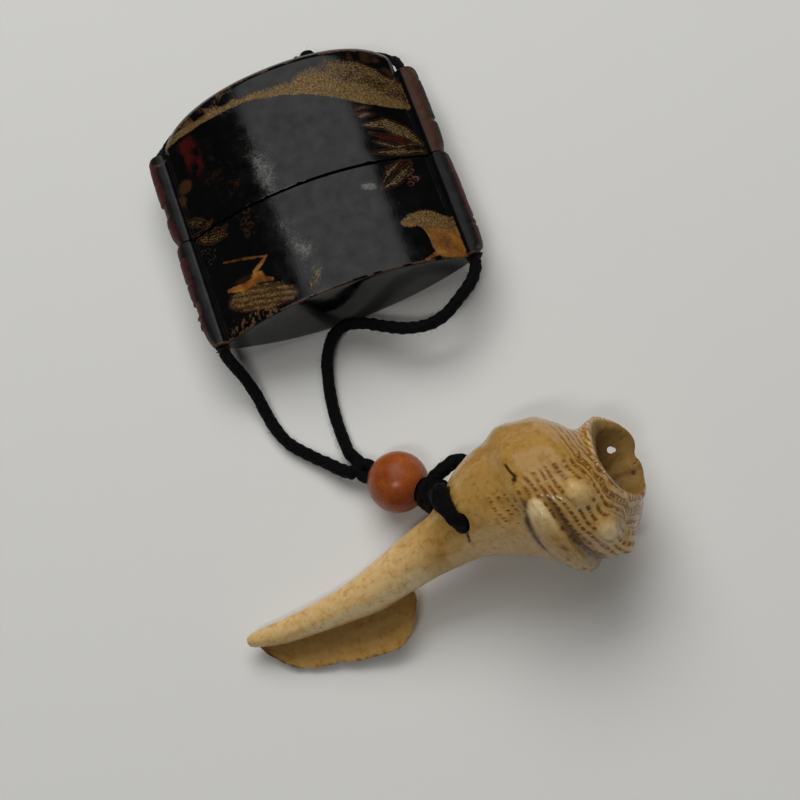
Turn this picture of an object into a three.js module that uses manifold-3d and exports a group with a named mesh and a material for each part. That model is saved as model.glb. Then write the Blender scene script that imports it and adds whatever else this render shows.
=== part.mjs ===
// A two-section inro case lying on its back, strung on one black cord with a
// bead and a shell toggle. Millimetres, +Z up, the origin under the body's back.
import * as THREE from 'three';
import { mergeVertices } from 'three/addons/utils/BufferGeometryUtils.js';
import Module from 'manifold-3d';

const wasm = await Module();
wasm.setup();

// ---- driving dimensions ----
const halfWidth = 26.5;      // case, centre to the corner of its face
const archRise = 7.6;        // how far the face bulges over its corners
const sideFlat = 3.9;        // height of the narrow side between the two arched faces
const nearY = -37.4;         // flat end, on the lid
const partY = -12;           // where lid and body meet
const shoulderY = 10.4;      // where the body's round shoulders begin
const shoulderRise = 7.9;    // from there to the crown of the far end
const endSlant = 0.045;      // the far end is a little out of square
const shoulderPower = 3;     // 2 would be an ellipse, more is squarer
const backFlat = 0.15;       // depth of the flat worn along the back
const lidWall = 1.4;
const bodyWall = 2.8;        // lid wall, gap and riser together
const endWall = 2;
const riserHeight = 7;       // the body's rim that stands up inside the lid
const gap = 0.3;
const runnerX = 28.1;        // middle of the cord channel
const runnerRadius = 2.75;
const runnerEndY = 10;
const boreRadius = 1.75;
const cordRadius = 1.35;
const heldRadius = 1.05;     // the held stretch is pulled thin and lies close to the case
const bead = { radius: 6.3, bore: 2.65, at: [-2.8, -77.4, 6.3], along: [0.68, -0.68, 0.27] };
const shell = { at: [23, -93, 17.4], yaw: 4.0, tilt: 11.5, roll: 22.2 };

const toRad = Math.PI / 180;
const archRadius = (halfWidth ** 2 + archRise ** 2) / (2 * archRise);
const halfThick = archRise + sideFlat / 2;
const midZ = halfThick - backFlat;

// ---- small helpers ----
function toSolid(geometry) {
  const bare = geometry.clone();
  bare.deleteAttribute('normal');
  bare.deleteAttribute('uv');
  const merged = mergeVertices(bare, 1e-4);
  return new wasm.Manifold(new wasm.Mesh({
    numProp: 3,
    vertProperties: new Float32Array(merged.attributes.position.array),
    triVerts: new Uint32Array(merged.index.array),
  }));
}

function toGeometry(solid) {
  const mesh = solid.getMesh();
  const geometry = new THREE.BufferGeometry();
  geometry.setAttribute('position', new THREE.BufferAttribute(new Float32Array(mesh.vertProperties), 3));
  geometry.setIndex(new THREE.BufferAttribute(new Uint32Array(mesh.triVerts), 1));
  geometry.computeVertexNormals();
  return geometry;
}

// A closed skin over rings of points, all with the same count, fanned shut at both ends.
function loft(rings, startPoint, endPoint) {
  const count = rings[0].length;
  const points = rings.flat().concat([startPoint, endPoint]);
  const first = points.length - 2;
  const last = points.length - 1;
  const faces = [];
  for (let j = 0; j < count; j++) {
    const k = (j + 1) % count;
    faces.push(first, k, j);
    for (let i = 0; i < rings.length - 1; i++) {
      const a = i * count;
      const b = a + count;
      faces.push(a + j, a + k, b + k, a + j, b + k, b + j);
    }
    const top = (rings.length - 1) * count;
    faces.push(top + j, top + k, last);
  }
  const geometry = new THREE.BufferGeometry();
  geometry.setAttribute('position', new THREE.Float32BufferAttribute(points.flat(), 3));
  geometry.setIndex(faces);
  return geometry;
}

function block(x0, x1, y0, y1, z0, z1) {
  const geometry = new THREE.BoxGeometry(x1 - x0, y1 - y0, z1 - z0);
  geometry.translate((x0 + x1) / 2, (y0 + y1) / 2, (z0 + z1) / 2);
  return toSolid(geometry);
}

// Eases through rows of [place, value, value...], without overshoot at the rows.
function track(rows, place, column = 1) {
  if (place <= rows[0][0]) return rows[0][column];
  for (let i = 1; i < rows.length; i++) {
    if (place <= rows[i][0]) {
      const t = (place - rows[i - 1][0]) / (rows[i][0] - rows[i - 1][0]);
      const slope = (n) => {
        const lo = Math.max(n - 1, 0);
        const hi = Math.min(n + 1, rows.length - 1);
        return (rows[hi][column] - rows[lo][column]) / (rows[hi][0] - rows[lo][0]);
      };
      const span = rows[i][0] - rows[i - 1][0];
      const a = rows[i - 1][column];
      const b = rows[i][column];
      const t2 = t * t;
      const t3 = t2 * t;
      return a * (2 * t3 - 3 * t2 + 1) + slope(i - 1) * span * (t3 - 2 * t2 + t)
        + b * (3 * t2 - 2 * t3) + slope(i) * span * (t3 - t2);
    }
  }
  return rows[rows.length - 1][column];
}

function smoothstep(edge0, edge1, value) {
  const t = Math.min(Math.max((value - edge0) / (edge1 - edge0), 0), 1);
  return t * t * (3 - 2 * t);
}

// ---- the case: lens-shaped in plan, square end by the cords, round shoulders far off ----
function faceHeight(x, inset) {
  const radius = archRadius - inset;
  return halfThick - inset - (radius - Math.sqrt(radius ** 2 - x ** 2));
}

function farEnd(x, inset) {
  const side = Math.min(Math.abs(x) / (halfWidth + 0.05), 1);
  return shoulderY + shoulderRise * (1 - side ** shoulderPower) ** (1 / shoulderPower)
    + endSlant * x - inset;
}

// One upright slice of the case at x: an oblong whose far corners are rounded.
function caseSlice(x, from, faceInset, endInset, edgeRadius) {
  const half = faceHeight(x, faceInset);
  const far = farEnd(x, endInset);
  const radius = Math.min(edgeRadius, half * 0.9);
  const ring = [[x, from, midZ - half]];
  for (let i = 0; i <= 4; i++) {
    const turn = (i / 4) * (Math.PI / 2);
    ring.push([x, far - radius + radius * Math.sin(turn), midZ - half + radius - radius * Math.cos(turn)]);
  }
  for (let i = 0; i <= 4; i++) {
    const turn = (1 - i / 4) * (Math.PI / 2);
    ring.push([x, far - radius + radius * Math.sin(turn), midZ + half - radius + radius * Math.cos(turn)]);
  }
  ring.push([x, from, midZ + half]);
  return ring;
}

function caseSolid(from, faceInset, sideInset, endInset, edgeRadius) {
  const reach = halfWidth - sideInset;
  const slices = [];
  const count = 24;
  for (let i = 0; i <= count; i++) {
    const x = reach * Math.sin(((i / count) * 2 - 1) * (Math.PI / 2));
    slices.push(caseSlice(x, from, faceInset, endInset, edgeRadius));
  }
  const endY = (from + farEnd(reach, endInset)) / 2;
  return toSolid(loft(slices, [-reach, endY, midZ], [reach, endY, midZ]));
}

// The raised ridge down each side that carries the cord, thinner at its worn ends.
function runnerSolid(side, y0, y1) {
  const sides = 14;
  const worn = [[y0, 0.6], [y0 + 3, 0.95], [(y0 + y1) / 2, 1.02], [y1 - 3.2, 1], [y1, 0.9]];
  const rings = worn.map(([y, size]) => {
    const ring = [];
    for (let j = 0; j < sides; j++) {
      const turn = (j / sides) * 2 * Math.PI;
      const swell = Math.cos(turn) > 0 ? size : 1;
      ring.push([side * (runnerX + 0.2 + runnerRadius * swell * Math.cos(turn)), y,
        midZ + runnerRadius * 0.96 * Math.sin(turn)]);
    }
    return side > 0 ? ring.reverse() : ring;
  });
  return toSolid(loft(rings, [side * runnerX, y0, midZ], [side * runnerX, y1, midZ]));
}

function boreSolid(side) {
  const geometry = new THREE.CylinderGeometry(boreRadius, boreRadius, 70, 16);
  geometry.translate(side * runnerX, -10, midZ);
  return toSolid(geometry);
}

const outer = caseSolid(nearY, 0, 0, 0, 2.6).intersect(block(-40, 40, -60, 40, 0, 40));
const bodyHollow = caseSolid(nearY - 5, bodyWall, bodyWall * 1.7, endWall, 1);
const riserOuter = caseSolid(nearY - 5, lidWall + gap, (lidWall + gap) * 1.7, endWall, 1);
const lidHollow = caseSolid(nearY + endWall, lidWall, lidWall * 1.7, endWall, 1);

let bodySolid = outer.intersect(block(-40, 40, partY + gap / 2, 40, -1, 40));
let lidSolid = outer.intersect(block(-40, 40, nearY - 1, partY - gap / 2, -1, 40));
for (const side of [-1, 1]) {
  bodySolid = bodySolid.add(runnerSolid(side, partY + gap / 2, runnerEndY));
  lidSolid = lidSolid.add(runnerSolid(side, nearY + 0.2, partY - gap / 2));
}
bodySolid = bodySolid.add(riserOuter.intersect(block(-40, 40, partY - riserHeight, partY + 1, -1, 40)));
bodySolid = bodySolid.subtract(bodyHollow);
lidSolid = lidSolid.subtract(lidHollow);
for (const side of [-1, 1]) {
  bodySolid = bodySolid.subtract(boreSolid(side));
  lidSolid = lidSolid.subtract(boreSolid(side));
}

// ---- cords ----
function sectionShape(radius, sides) {
  const shape = new THREE.Shape();
  for (let j = 0; j < sides; j++) {
    const turn = (j / sides) * 2 * Math.PI;
    if (j === 0) shape.moveTo(radius, 0);
    else shape.lineTo(radius * Math.cos(turn), radius * Math.sin(turn));
  }
  return shape;
}

function tube(points, radius, steps, sides = 8) {
  const curve = new THREE.CatmullRomCurve3(points.map((p) => new THREE.Vector3(...p)), false, 'centripetal');
  return new THREE.ExtrudeGeometry(sectionShape(radius, sides), {
    steps, extrudePath: curve, bevelEnabled: false,
  });
}

// Free strands, from the mouths of the lid's channels to the bead.
const leftRoute = [
  [-28.1, -37.7, 9.4], [-27.4, -40.2, 8.4], [-25.9, -43.6, 5.9], [-24.8, -47.2, 3.4],
  [-24.2, -51.2, 2], [-23.3, -55.3, 1.6], [-21.7, -59.3, 1.6], [-18.9, -62.9, 1.7],
  [-15.9, -66.2, 2.1], [-11.9, -70.5, 3.2], [-10.6, -71.8, 3.7],
];
const rightRoute = [
  [28.1, -37.7, 9.4], [27.4, -39.8, 9.5], [25.4, -42.6, 9.8], [21.6, -45.4, 9.9],
  [18, -47.5, 9.7], [14.3, -48.1, 9.3], [9.7, -46.9, 8.6], [5.4, -44.4, 7.8],
  [1.5, -41.7, 6.9], [-2.3, -40.3, 5.8], [-5.5, -41.2, 4.5], [-8, -44.4, 3.1],
  [-9.6, -49.5, 2], [-10.4, -54.3, 1.6], [-10.7, -59.3, 1.6], [-10.6, -63.2, 1.8],
  [-10.3, -66.6, 2.5], [-9.4, -68.6, 3.2], [-8.4, -69.6, 3.7],
];

// The held stretch: up a channel, round the shoulder and across the far end to the knot.
const knotX = 9;
const heldDip = 3.2;         // how far it hangs below mid height along the far end
function overEnd(side, turn, lift) {
  const x = side * halfWidth * Math.cos(turn) ** (2 / shoulderPower);
  const y = shoulderRise * Math.sin(turn) ** (2 / shoulderPower);
  const outX = side * (Math.abs(x) / halfWidth) ** (shoulderPower - 1) / halfWidth;
  const outY = (y / shoulderRise) ** (shoulderPower - 1) / shoulderRise;
  const length = Math.hypot(outX, outY);
  const z = midZ - heldDip * smoothstep(0.02, 0.3, turn);
  return [x + (lift * outX) / length, shoulderY + y + endSlant * x + (lift * outY) / length, z];
}
function heldRoute(side) {
  const route = [];
  for (const y of [nearY + 0.2, partY, runnerEndY - 3, runnerEndY + 0.4]) {
    route.push([side * runnerX, y, midZ]);
  }
  const lift = heldRadius + gap + 0.12;
  const last = side < 0 ? 1.37 : 0.98;
  const first = 0.16;
  const count = side < 0 ? 7 : 5;
  for (let i = 0; i <= count; i++) route.push(overEnd(side, first + ((last - first) * i) / count, lift));
  const low = midZ - heldDip;
  if (side < 0) route.push([0, farEnd(0, 0) + lift, low], [knotX - 3.4, farEnd(knotX, 0) + lift, low]);
  else route.push([knotX + 3.4, farEnd(knotX + 3.4, 0) + lift, low]);
  return route;
}

const endKnot = { at: [knotX, farEnd(knotX, 0) + cordRadius + 1.2, midZ - 0.2], size: [3, 2.2, 2.7] };

function lump(at, size, along = [1, 0, 0]) {
  const geometry = new THREE.SphereGeometry(1, 12, 8);
  geometry.rotateZ(Math.PI / 2);
  geometry.scale(...size);
  const turn = Math.atan2(along[1], along[0]);
  geometry.rotateZ(turn);
  geometry.translate(...at);
  return geometry;
}

// ---- bead ----
const beadAxis = new THREE.Vector3(...bead.along).normalize();
function alongBead(distance, sideways = 0) {
  return [bead.at[0] + beadAxis.x * distance - beadAxis.y * sideways,
    bead.at[1] + beadAxis.y * distance + beadAxis.x * sideways,
    bead.at[2] + beadAxis.z * distance];
}
function beadSolid() {
  const ball = new THREE.SphereGeometry(bead.radius, 28, 18);
  const bore = new THREE.CylinderGeometry(bead.bore, bead.bore, 20, 16);
  bore.rotateZ(-Math.PI / 2);
  let solid = toSolid(ball).subtract(toSolid(bore));
  solid = solid.rotate([0, -Math.asin(beadAxis.z) / toRad, Math.atan2(beadAxis.y, beadAxis.x) / toRad]);
  return solid.translate(bead.at).intersect(block(-40, 40, -120, 0, 0.05, 40));
}

// ---- the shell toggle, in its own frame: v along the axis, u across, w towards its front ----
const axisV = new THREE.Vector3(
  Math.cos(shell.tilt * toRad) * Math.cos(shell.yaw * toRad),
  Math.cos(shell.tilt * toRad) * Math.sin(shell.yaw * toRad),
  Math.sin(shell.tilt * toRad),
);
const levelU = new THREE.Vector3(0, 0, 1).cross(axisV).normalize().negate();
const levelW = levelU.clone().cross(axisV);
const axisU = levelU.clone().multiplyScalar(Math.cos(shell.roll * toRad))
  .addScaledVector(levelW, -Math.sin(shell.roll * toRad));
const axisW = levelU.clone().multiplyScalar(Math.sin(shell.roll * toRad))
  .addScaledVector(levelW, Math.cos(shell.roll * toRad));

function shellPoint(u, v, w) {
  return new THREE.Vector3(...shell.at).addScaledVector(axisU, u)
    .addScaledVector(axisV, v).addScaledVector(axisW, w).toArray();
}

// Canal and neck: [v, centre u, radius]
const neckRows = [
  [-66.4, 0.5, 1], [-65.2, 0.6, 1.6], [-60, 1.6, 2.4], [-53, 2.3, 2.9], [-44, 2.7, 3.7], [-39, 2.5, 4.4],
  [-34, 1.8, 4.8], [-27, 0.7, 5.4], [-21.6, 0.2, 6], [-16.3, -1.2, 7.9], [-13.2, -1.7, 9.5],
  [-8.7, -1.3, 11.6], [-4, -0.4, 13.3], [0, 1.1, 15.1], [4, 1.9, 15.9], [10, 2.1, 16], [14, 1.4, 16], [20, 0.9, 16],
];
// Body whorl: [distance above its shoulder, radius]
const whorlRows = [
  [-16, 15.2], [-11, 15.9], [-6, 16], [-2, 15.7], [0, 15.2], [1.6, 14.1],
  [3.6, 12.2], [5.2, 10], [6.4, 9.1], [9, 9.3], [16, 9.6],
];
const whorl = { shoulder: 8.6, drop: 12, nodule: 1.3, noduleTurn: 36, firstNodule: 88, smoothFrom: 102 };
// The cut lip: [angle from the right side, its lower edge, its upper edge, depth of the cut]
const lipRows = [
  [-110, 3, 6, 0], [-60, 2, 6, 0.2], [-25, 0.8, 4.4, 0.4], [0, -0.2, 4, 0.9], [25, -1.3, 3.6, 1.7],
  [41, -2.4, 2.9, 2], [51, -3, 2.5, 2], [65, -3.1, 2.2, 1.6], [78, -2.7, 1.9, 1.2], [91, -1.6, 1.4, 0.7],
  [98, 0, 0.2, 0],
];

function noduleSwell(angle, height) {
  const turn = (angle - whorl.firstNodule) / whorl.noduleTurn;
  const knob = Math.cos(turn * 2 * Math.PI) * 0.5 + 0.5;
  const around = knob + (0.15 - knob) * smoothstep(whorl.smoothFrom, whorl.smoothFrom + 20, angle);
  return whorl.nodule * around * Math.exp(-(((height + 0.4) / 2.5) ** 2));
}

function shellRadius(angle, v) {
  const seam = ((angle + 90 + 720) % 360) - 90;          // -90 is the oldest side, 270 the newest
  const older = whorl.shoulder - (whorl.drop * (seam - 90)) / 360;
  const blend = (smoothstep(-50, -90, seam) - smoothstep(230, 270, seam)) / 2;   // both sides meet half way
  const shoulder = older - whorl.drop * blend;
  const height = v - shoulder;
  const body = track(whorlRows, height) + noduleSwell(angle, height);
  const neck = track(neckRows, v, 2);
  const side = ((angle + 110 + 720) % 360) - 110;
  const lower = track(lipRows, side, 1);
  const depth = side > 98 ? 0 : track(lipRows, side, 3);
  const above = smoothstep(lower - 0.5, lower + 0.7, v);
  const fill = smoothstep(-6, 1, v);
  const plain = neck + (body - neck) * fill;
  const raised = Math.max(plain, neck + depth * above);
  return v > 2 ? body : raised;
}

// The broken rim of the spire: [angle, height up the axis, thickness of its wall]
const rimRows = [
  [0, 17.6, 1.3], [45, 15.3, 1.5], [90, 13.8, 2.2], [120, 13.7, 3.5], [165, 15, 3.2], [200, 16.5, 3], [228, 18.4, 2.4],
  [255, 20, 1.4], [270, 20, 1.2], [284, 18.9, 1.2], [298, 19.3, 1.2], [322, 18.8, 1.2], [360, 17.6, 1.3],
];

function cutHeight(angle) {
  return track(rimRows, angle, 1);
}

function shellRing(v, radiusOf, sides) {
  const ring = [];
  for (let j = 0; j < sides; j++) {
    const angle = (j / sides) * 360;
    const place = typeof v === 'function' ? v(angle) : v;
    const centre = track(neckRows, place, 1);
    const radius = radiusOf(angle, place);
    ring.push(shellPoint(centre + radius * Math.cos(angle * toRad), place, radius * Math.sin(angle * toRad)));
  }
  return ring.reverse();
}

function shellBody() {
  const sides = 40;
  const rings = [];
  const stations = [-66.4, -65.2, -60, -54, -48, -42, -37, -32, -27, -22, -18, -14.5, -11.5, -8.8,
    -6.6, -5.2, -4.2, -3.2, -2.2, -1.2, 0.4, 2.2, 4.2];
  for (const v of stations) rings.push(shellRing(v, shellRadius, sides));
  const crown = 7;
  for (let i = 1; i <= crown; i++) {
    const climb = (angle) => 4.2 + (cutHeight(angle) - 4.2) * (i / crown);
    rings.push(shellRing(climb, shellRadius, sides));
  }
  // over the broken rim and down into the hollow spire: [distance below the rim, extra thickness]
  const hollow = [[0, 0], [-4, 0.9], [-8, 2.6]];
  for (const [down, extra] of hollow) {
    rings.push(shellRing((angle) => cutHeight(angle) + down,
      (angle) => shellRadius(angle, cutHeight(angle)) - track(rimRows, angle, 2) - extra, sides));
  }
  const floor = shellPoint(2, cutHeight(0) - 9.5, 0);
  return toSolid(loft(rings, shellPoint(0.5, -66.8, 0), floor));
}

// What is left of the canal's outer wall: a thin curled leaf. [v, reach in u, height of its edge]
const leafRows = [
  [-65.4, 2.2, -0.6], [-63.5, 5.6, -0.6], [-60.5, 9.2, -0.6], [-57.5, 10.9, -0.6], [-52, 12.6, -0.5],
  [-47, 14.1, -0.3], [-41, 15.1, 0], [-38.4, 15, 0], [-35.4, 12.9, -0.3], [-32.4, 8.8, -1.2],
];
function leafSolid() {
  const across = 6;
  const thick = 1.1;
  const rings = [];
  for (let v = -65; v <= -32.3; v += 2.5) {
    const centre = track(neckRows, v, 1);
    const radius = track(neckRows, v, 2);
    const reach = track(leafRows, v, 1);
    const edge = track(leafRows, v, 2);
    const root = [centre + radius * 0.2, -radius * 0.55];
    const sag = [root[0] + (reach - root[0]) * 0.5, root[1] - 1.6 - radius * 0.35];
    const inner = [];
    const outside = [];
    for (let i = 0; i <= across; i++) {
      const t = i / across;
      const u = root[0] * (1 - t) ** 2 + 2 * sag[0] * t * (1 - t) + reach * t ** 2;
      const w = root[1] * (1 - t) ** 2 + 2 * sag[1] * t * (1 - t) + edge * t ** 2;
      const thin = thick * (1 - 0.35 * t);
      inner.push(shellPoint(u, v, w));
      outside.push(shellPoint(u + thin * 0.35 * t, v, w - thin));
    }
    rings.push(inner.concat(outside.reverse()));
  }
  const middle = (ring) => ring.reduce((sum, p) => sum.map((n, i) => n + p[i] / ring.length), [0, 0, 0]);
  return toSolid(loft(rings, middle(rings[0]), middle(rings[rings.length - 1])));
}

// The loop of cord that holds the shell: up its flank, through the drilled hole, out behind.
const knot = { at: alongBead(9.2), size: [2.6, 4.1, 3.3] };
const loopRoute = [
  [4.9, -88.6, 11.4], [5.1, -90.7, 13.7], shellPoint(-9.2, -16.6, 5.2), shellPoint(-6.6, -16.5, 8.3),
  shellPoint(-3.7, -16.2, 9.7), shellPoint(-1.7, -15.6, 8.2), shellPoint(-1.2, -15.2, 4.5),
  shellPoint(-1.5, -14.9, 0), shellPoint(-2.2, -14.7, -4.5), shellPoint(-3.8, -14.6, -8.2),
  shellPoint(-7.2, -14.4, -9.9), shellPoint(-9.5, -13.4, -10.6), shellPoint(-11.5, -12.4, -10),
  [9.4, -78.9, 10.6], [7, -79.6, 10.5],
];

// A small hole worn through the thin back of the spire.
const wornHole = { from: shellPoint(-0.2, 15.6, -3.5), to: shellPoint(0.5, 15.1, -14), radius: 0.95 };

let shellSolid = shellBody().add(leafSolid());
shellSolid = shellSolid.subtract(toSolid(tube(loopRoute, boreRadius + 0.1, 24, 10)));
shellSolid = shellSolid.subtract(toSolid(tube([wornHole.from, wornHole.to], wornHole.radius, 1, 12)));

// ---- the named pieces ----
const group = new THREE.Group();
function addPiece(name, geometry, color, roughness, metalness = 0) {
  const mesh = new THREE.Mesh(geometry, new THREE.MeshStandardMaterial({ color, roughness, metalness }));
  mesh.name = name;
  group.add(mesh);
}

const lacquer = 0x14110f;
const blackCord = 0x0b0b0c;
addPiece('inro_body', toGeometry(bodySolid), lacquer, 0.25);
addPiece('inro_lid', toGeometry(lidSolid), lacquer, 0.25);
addPiece('bead', toGeometry(beadSolid()), 0x9a5536, 0.4);
addPiece('shell_toggle', toGeometry(shellSolid), 0xcdb283, 0.4);
addPiece('cord_left', tube(leftRoute, cordRadius, 12), blackCord, 0.9);
addPiece('cord_right', tube(rightRoute, cordRadius, 22), blackCord, 0.9);
addPiece('cord_in_case_left', tube(heldRoute(-1), heldRadius, 18), blackCord, 0.9);
addPiece('cord_in_case_right', tube(heldRoute(1), heldRadius, 14), blackCord, 0.9);
addPiece('cord_end_knot', lump(endKnot.at, endKnot.size), blackCord, 0.9);
addPiece('cord_in_bead', tube([alongBead(-9.2), alongBead(0), alongBead(6.3)], 2.3, 3), blackCord, 0.9);
addPiece('toggle_knot', lump(knot.at, knot.size, bead.along), blackCord, 0.9);
addPiece('toggle_loop', tube(loopRoute, cordRadius, 16), blackCord, 0.9);

export default group;
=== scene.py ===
import math
from functools import partial

import bpy
import numpy as np
from mathutils import Matrix, Vector


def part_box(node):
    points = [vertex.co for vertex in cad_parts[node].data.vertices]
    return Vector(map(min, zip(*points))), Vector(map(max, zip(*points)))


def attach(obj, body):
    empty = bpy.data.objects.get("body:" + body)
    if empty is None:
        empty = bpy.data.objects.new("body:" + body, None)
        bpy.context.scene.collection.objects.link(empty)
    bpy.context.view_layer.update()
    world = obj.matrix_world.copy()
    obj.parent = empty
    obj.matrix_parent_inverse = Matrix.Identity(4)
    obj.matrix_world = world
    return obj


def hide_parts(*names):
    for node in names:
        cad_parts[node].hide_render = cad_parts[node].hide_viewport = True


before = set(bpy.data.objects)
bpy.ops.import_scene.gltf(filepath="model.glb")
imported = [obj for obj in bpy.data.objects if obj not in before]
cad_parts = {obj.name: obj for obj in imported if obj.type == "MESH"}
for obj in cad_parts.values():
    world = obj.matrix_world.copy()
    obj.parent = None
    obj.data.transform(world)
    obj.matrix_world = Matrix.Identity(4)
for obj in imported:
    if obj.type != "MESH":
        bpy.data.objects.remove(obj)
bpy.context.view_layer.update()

mm = 0.001
fullTurn = 2 * math.pi


def hexColour(text):      # sRGB hex to the linear colour that shaders take
    parts = [int(text[i:i + 2], 16) / 255 for i in (1, 3, 5)]
    return tuple(c / 12.92 if c <= 0.04045 else ((c + 0.055) / 1.055) ** 2.4 for c in parts) + (1.0,)


def setInputs(tree, node, links):      # a socket, a node for its first output, a hex colour or a value
    for socket, value in links.items():
        if isinstance(value, bpy.types.Node):
            value = value.outputs[0]
        if isinstance(value, bpy.types.NodeSocket):
            tree.links.new(value, node.inputs[socket])
        else:
            node.inputs[socket].default_value = hexColour(value) if isinstance(value, str) else value
    return node


def addNode(tree, kind, settings=None, links=None):
    node = tree.nodes.new(kind)
    for name, value in (settings or {}).items():
        setattr(node, name, value)
    return setInputs(tree, node, links or {})


def newMaterial(name):
    material = bpy.data.materials.new(name)
    material.use_nodes = True
    return material, material.node_tree, material.node_tree.nodes["Principled BSDF"]


def setRamp(node, stops):
    ramp = node.color_ramp
    while len(ramp.elements) < len(stops):
        ramp.elements.new(0.5)
    for element, (place, colour) in zip(ramp.elements, stops):
        element.position = place
        element.color = hexColour(colour)
    return node


def smooth(edge0, edge1, value):      # 0 at edge0 and 1 at edge1, eased between and level beyond
    t = np.clip((value - edge0) / (edge1 - edge0), 0, 1)
    return t * t * (3 - 2 * t)


def hump(value, middle, width):      # 1 at the middle, fading away on both sides
    return np.exp(-((value - middle) / width) ** 2)


def most(*fields):      # the largest of several fields at each place
    return np.maximum.reduce(np.broadcast_arrays(*fields))


def track(rows, place, column=1):      # eases through rows of [place, value, value...]
    rows = np.array(rows, float)
    x, y = rows[:, 0], rows[:, column]
    place = np.clip(place, x[0], x[-1])
    n = np.clip(np.searchsorted(x, place, side="left"), 1, len(x) - 1)
    low, high = np.maximum(np.arange(len(x)) - 1, 0), np.minimum(np.arange(len(x)) + 1, len(x) - 1)
    slope = (y[high] - y[low]) / (x[high] - x[low])
    span = x[n] - x[n - 1]
    t = (place - x[n - 1]) / span
    t2, t3 = t * t, t * t * t
    return (y[n - 1] * (2 * t3 - 3 * t2 + 1) + slope[n - 1] * span * (t3 - 2 * t2 + t)
            + y[n] * (3 * t2 - 2 * t3) + slope[n] * span * (t3 - t2))


def mottle(x, y, size, seed):      # smooth random field from 0 to 1, about size across
    tile = 64
    table = np.random.default_rng(seed).random((tile, tile))
    gx, gy = np.asarray(x) / size, np.asarray(y) / size
    ix, iy = np.floor(gx).astype(int), np.floor(gy).astype(int)
    tx, ty = ((g - i) ** 2 * (3 - 2 * (g - i)) for g, i in ((gx, ix), (gy, iy)))
    near, far = (table[ix % tile, row % tile] * (1 - tx) + table[(ix + 1) % tile, row % tile] * tx
                 for row in (iy, iy + 1))
    return near * (1 - ty) + far * ty


def meshFrom(name, points, faces):      # points in mm; faces are arrays of quads or triangles
    mesh = bpy.data.meshes.new(name)
    points = np.asarray(points, float).reshape(-1, 3) * mm
    mesh.vertices.add(len(points))
    mesh.vertices.foreach_set("co", points.astype(np.float32).ravel())
    corners = np.concatenate([np.asarray(f).ravel() for f in faces])
    counts = np.concatenate([np.full(len(f), np.asarray(f).shape[1]) for f in faces])
    mesh.loops.add(len(corners))
    mesh.loops.foreach_set("vertex_index", corners.astype(np.int32))
    mesh.polygons.add(len(counts))
    mesh.polygons.foreach_set("loop_start", (np.cumsum(counts) - counts).astype(np.int32))
    mesh.update(calc_edges=True)
    ob = bpy.data.objects.new(name, mesh)
    bpy.context.scene.collection.objects.link(ob)
    return ob


def loft(name, rings, ends=()):      # skin facing out over rings, closed by two end points or on itself
    rows, count = rings.shape[:2]
    j = np.arange(count)
    k = (j + 1) % count
    i = np.arange(rows - 1 if len(ends) else rows)[:, None]
    low, high = i * count, (i + 1) % rows * count
    quads = np.stack([low + j, low + k, high + k, high + j], -1).reshape(-1, 4)
    points, faces = rings.reshape(-1, 3), [quads]
    if len(ends):
        points = np.vstack([points, *ends])
        first, last, top = rows * count, rows * count + 1, (rows - 1) * count
        faces.append(np.vstack([np.stack([np.full(count, first), k, j], -1),
                                np.stack([top + j, top + k, np.full(count, last)], -1)]))
    triangles = np.vstack([quads[:, [0, 1, 2]], quads[:, [0, 2, 3]], *faces[1:]])
    a, b, c = (points[triangles[:, n]] for n in range(3))
    if (np.cross(a, b) * c).sum() < 0:
        faces = [face[:, ::-1] for face in faces]
    return meshFrom(name, points, faces)


def evaluated(ob):      # the object's mesh with its modifiers applied, and the modifiers gone
    depsgraph = bpy.context.evaluated_depsgraph_get()
    mesh = bpy.data.meshes.new_from_object(ob.evaluated_get(depsgraph))
    ob.modifiers.clear()
    old = ob.data
    ob.data = mesh
    bpy.data.meshes.remove(old)
    return ob


def carve(ob, tool, operation):      # one boolean step; the tool is used up
    step = ob.modifiers.new("step", "BOOLEAN")
    step.solver = "MANIFOLD"
    step.operation = operation
    step.object = tool
    evaluated(ob)
    bpy.data.objects.remove(tool)
    return ob


def place(ob, material, crease, slot, node):      # smooth up to crease degrees, and put in the frame
    ob.data.name = ob.name
    ob.data.materials.clear()
    ob.data.materials.append(material)
    ob.data.polygons.foreach_set("use_smooth", np.ones(len(ob.data.polygons), bool))
    ob.data.set_sharp_from_angle(angle=math.radians(crease))
    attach(ob, "root")
    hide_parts(node)
    print(slot + ":", ob.name, len(ob.data.polygons), "faces")


def read(ob, what="co"):      # each vertex's place in metres, or its normal
    out = np.empty(len(ob.data.vertices) * 3, np.float32)
    ob.data.vertices.foreach_get(what, out)
    return out.reshape(-1, 3).astype(float)


def giveValues(ob, **fields):      # one number for each vertex, under each name
    for name, values in fields.items():
        attribute = ob.data.attributes.new(name, "FLOAT", "POINT")
        attribute.data.foreach_set("value", np.clip(values, 0, 1).astype(np.float32))


# The camera looks steeply down along +Y and is turned about its own line of sight. Places are in mm.
cameraSet = {
    "at": (3.238, -223.085, 408.427), "aim": (3.238, -61.302, 8),
    "turn": -19.9,           # degrees
    "lens": 94.5, "sensor": 36,
}


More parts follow.
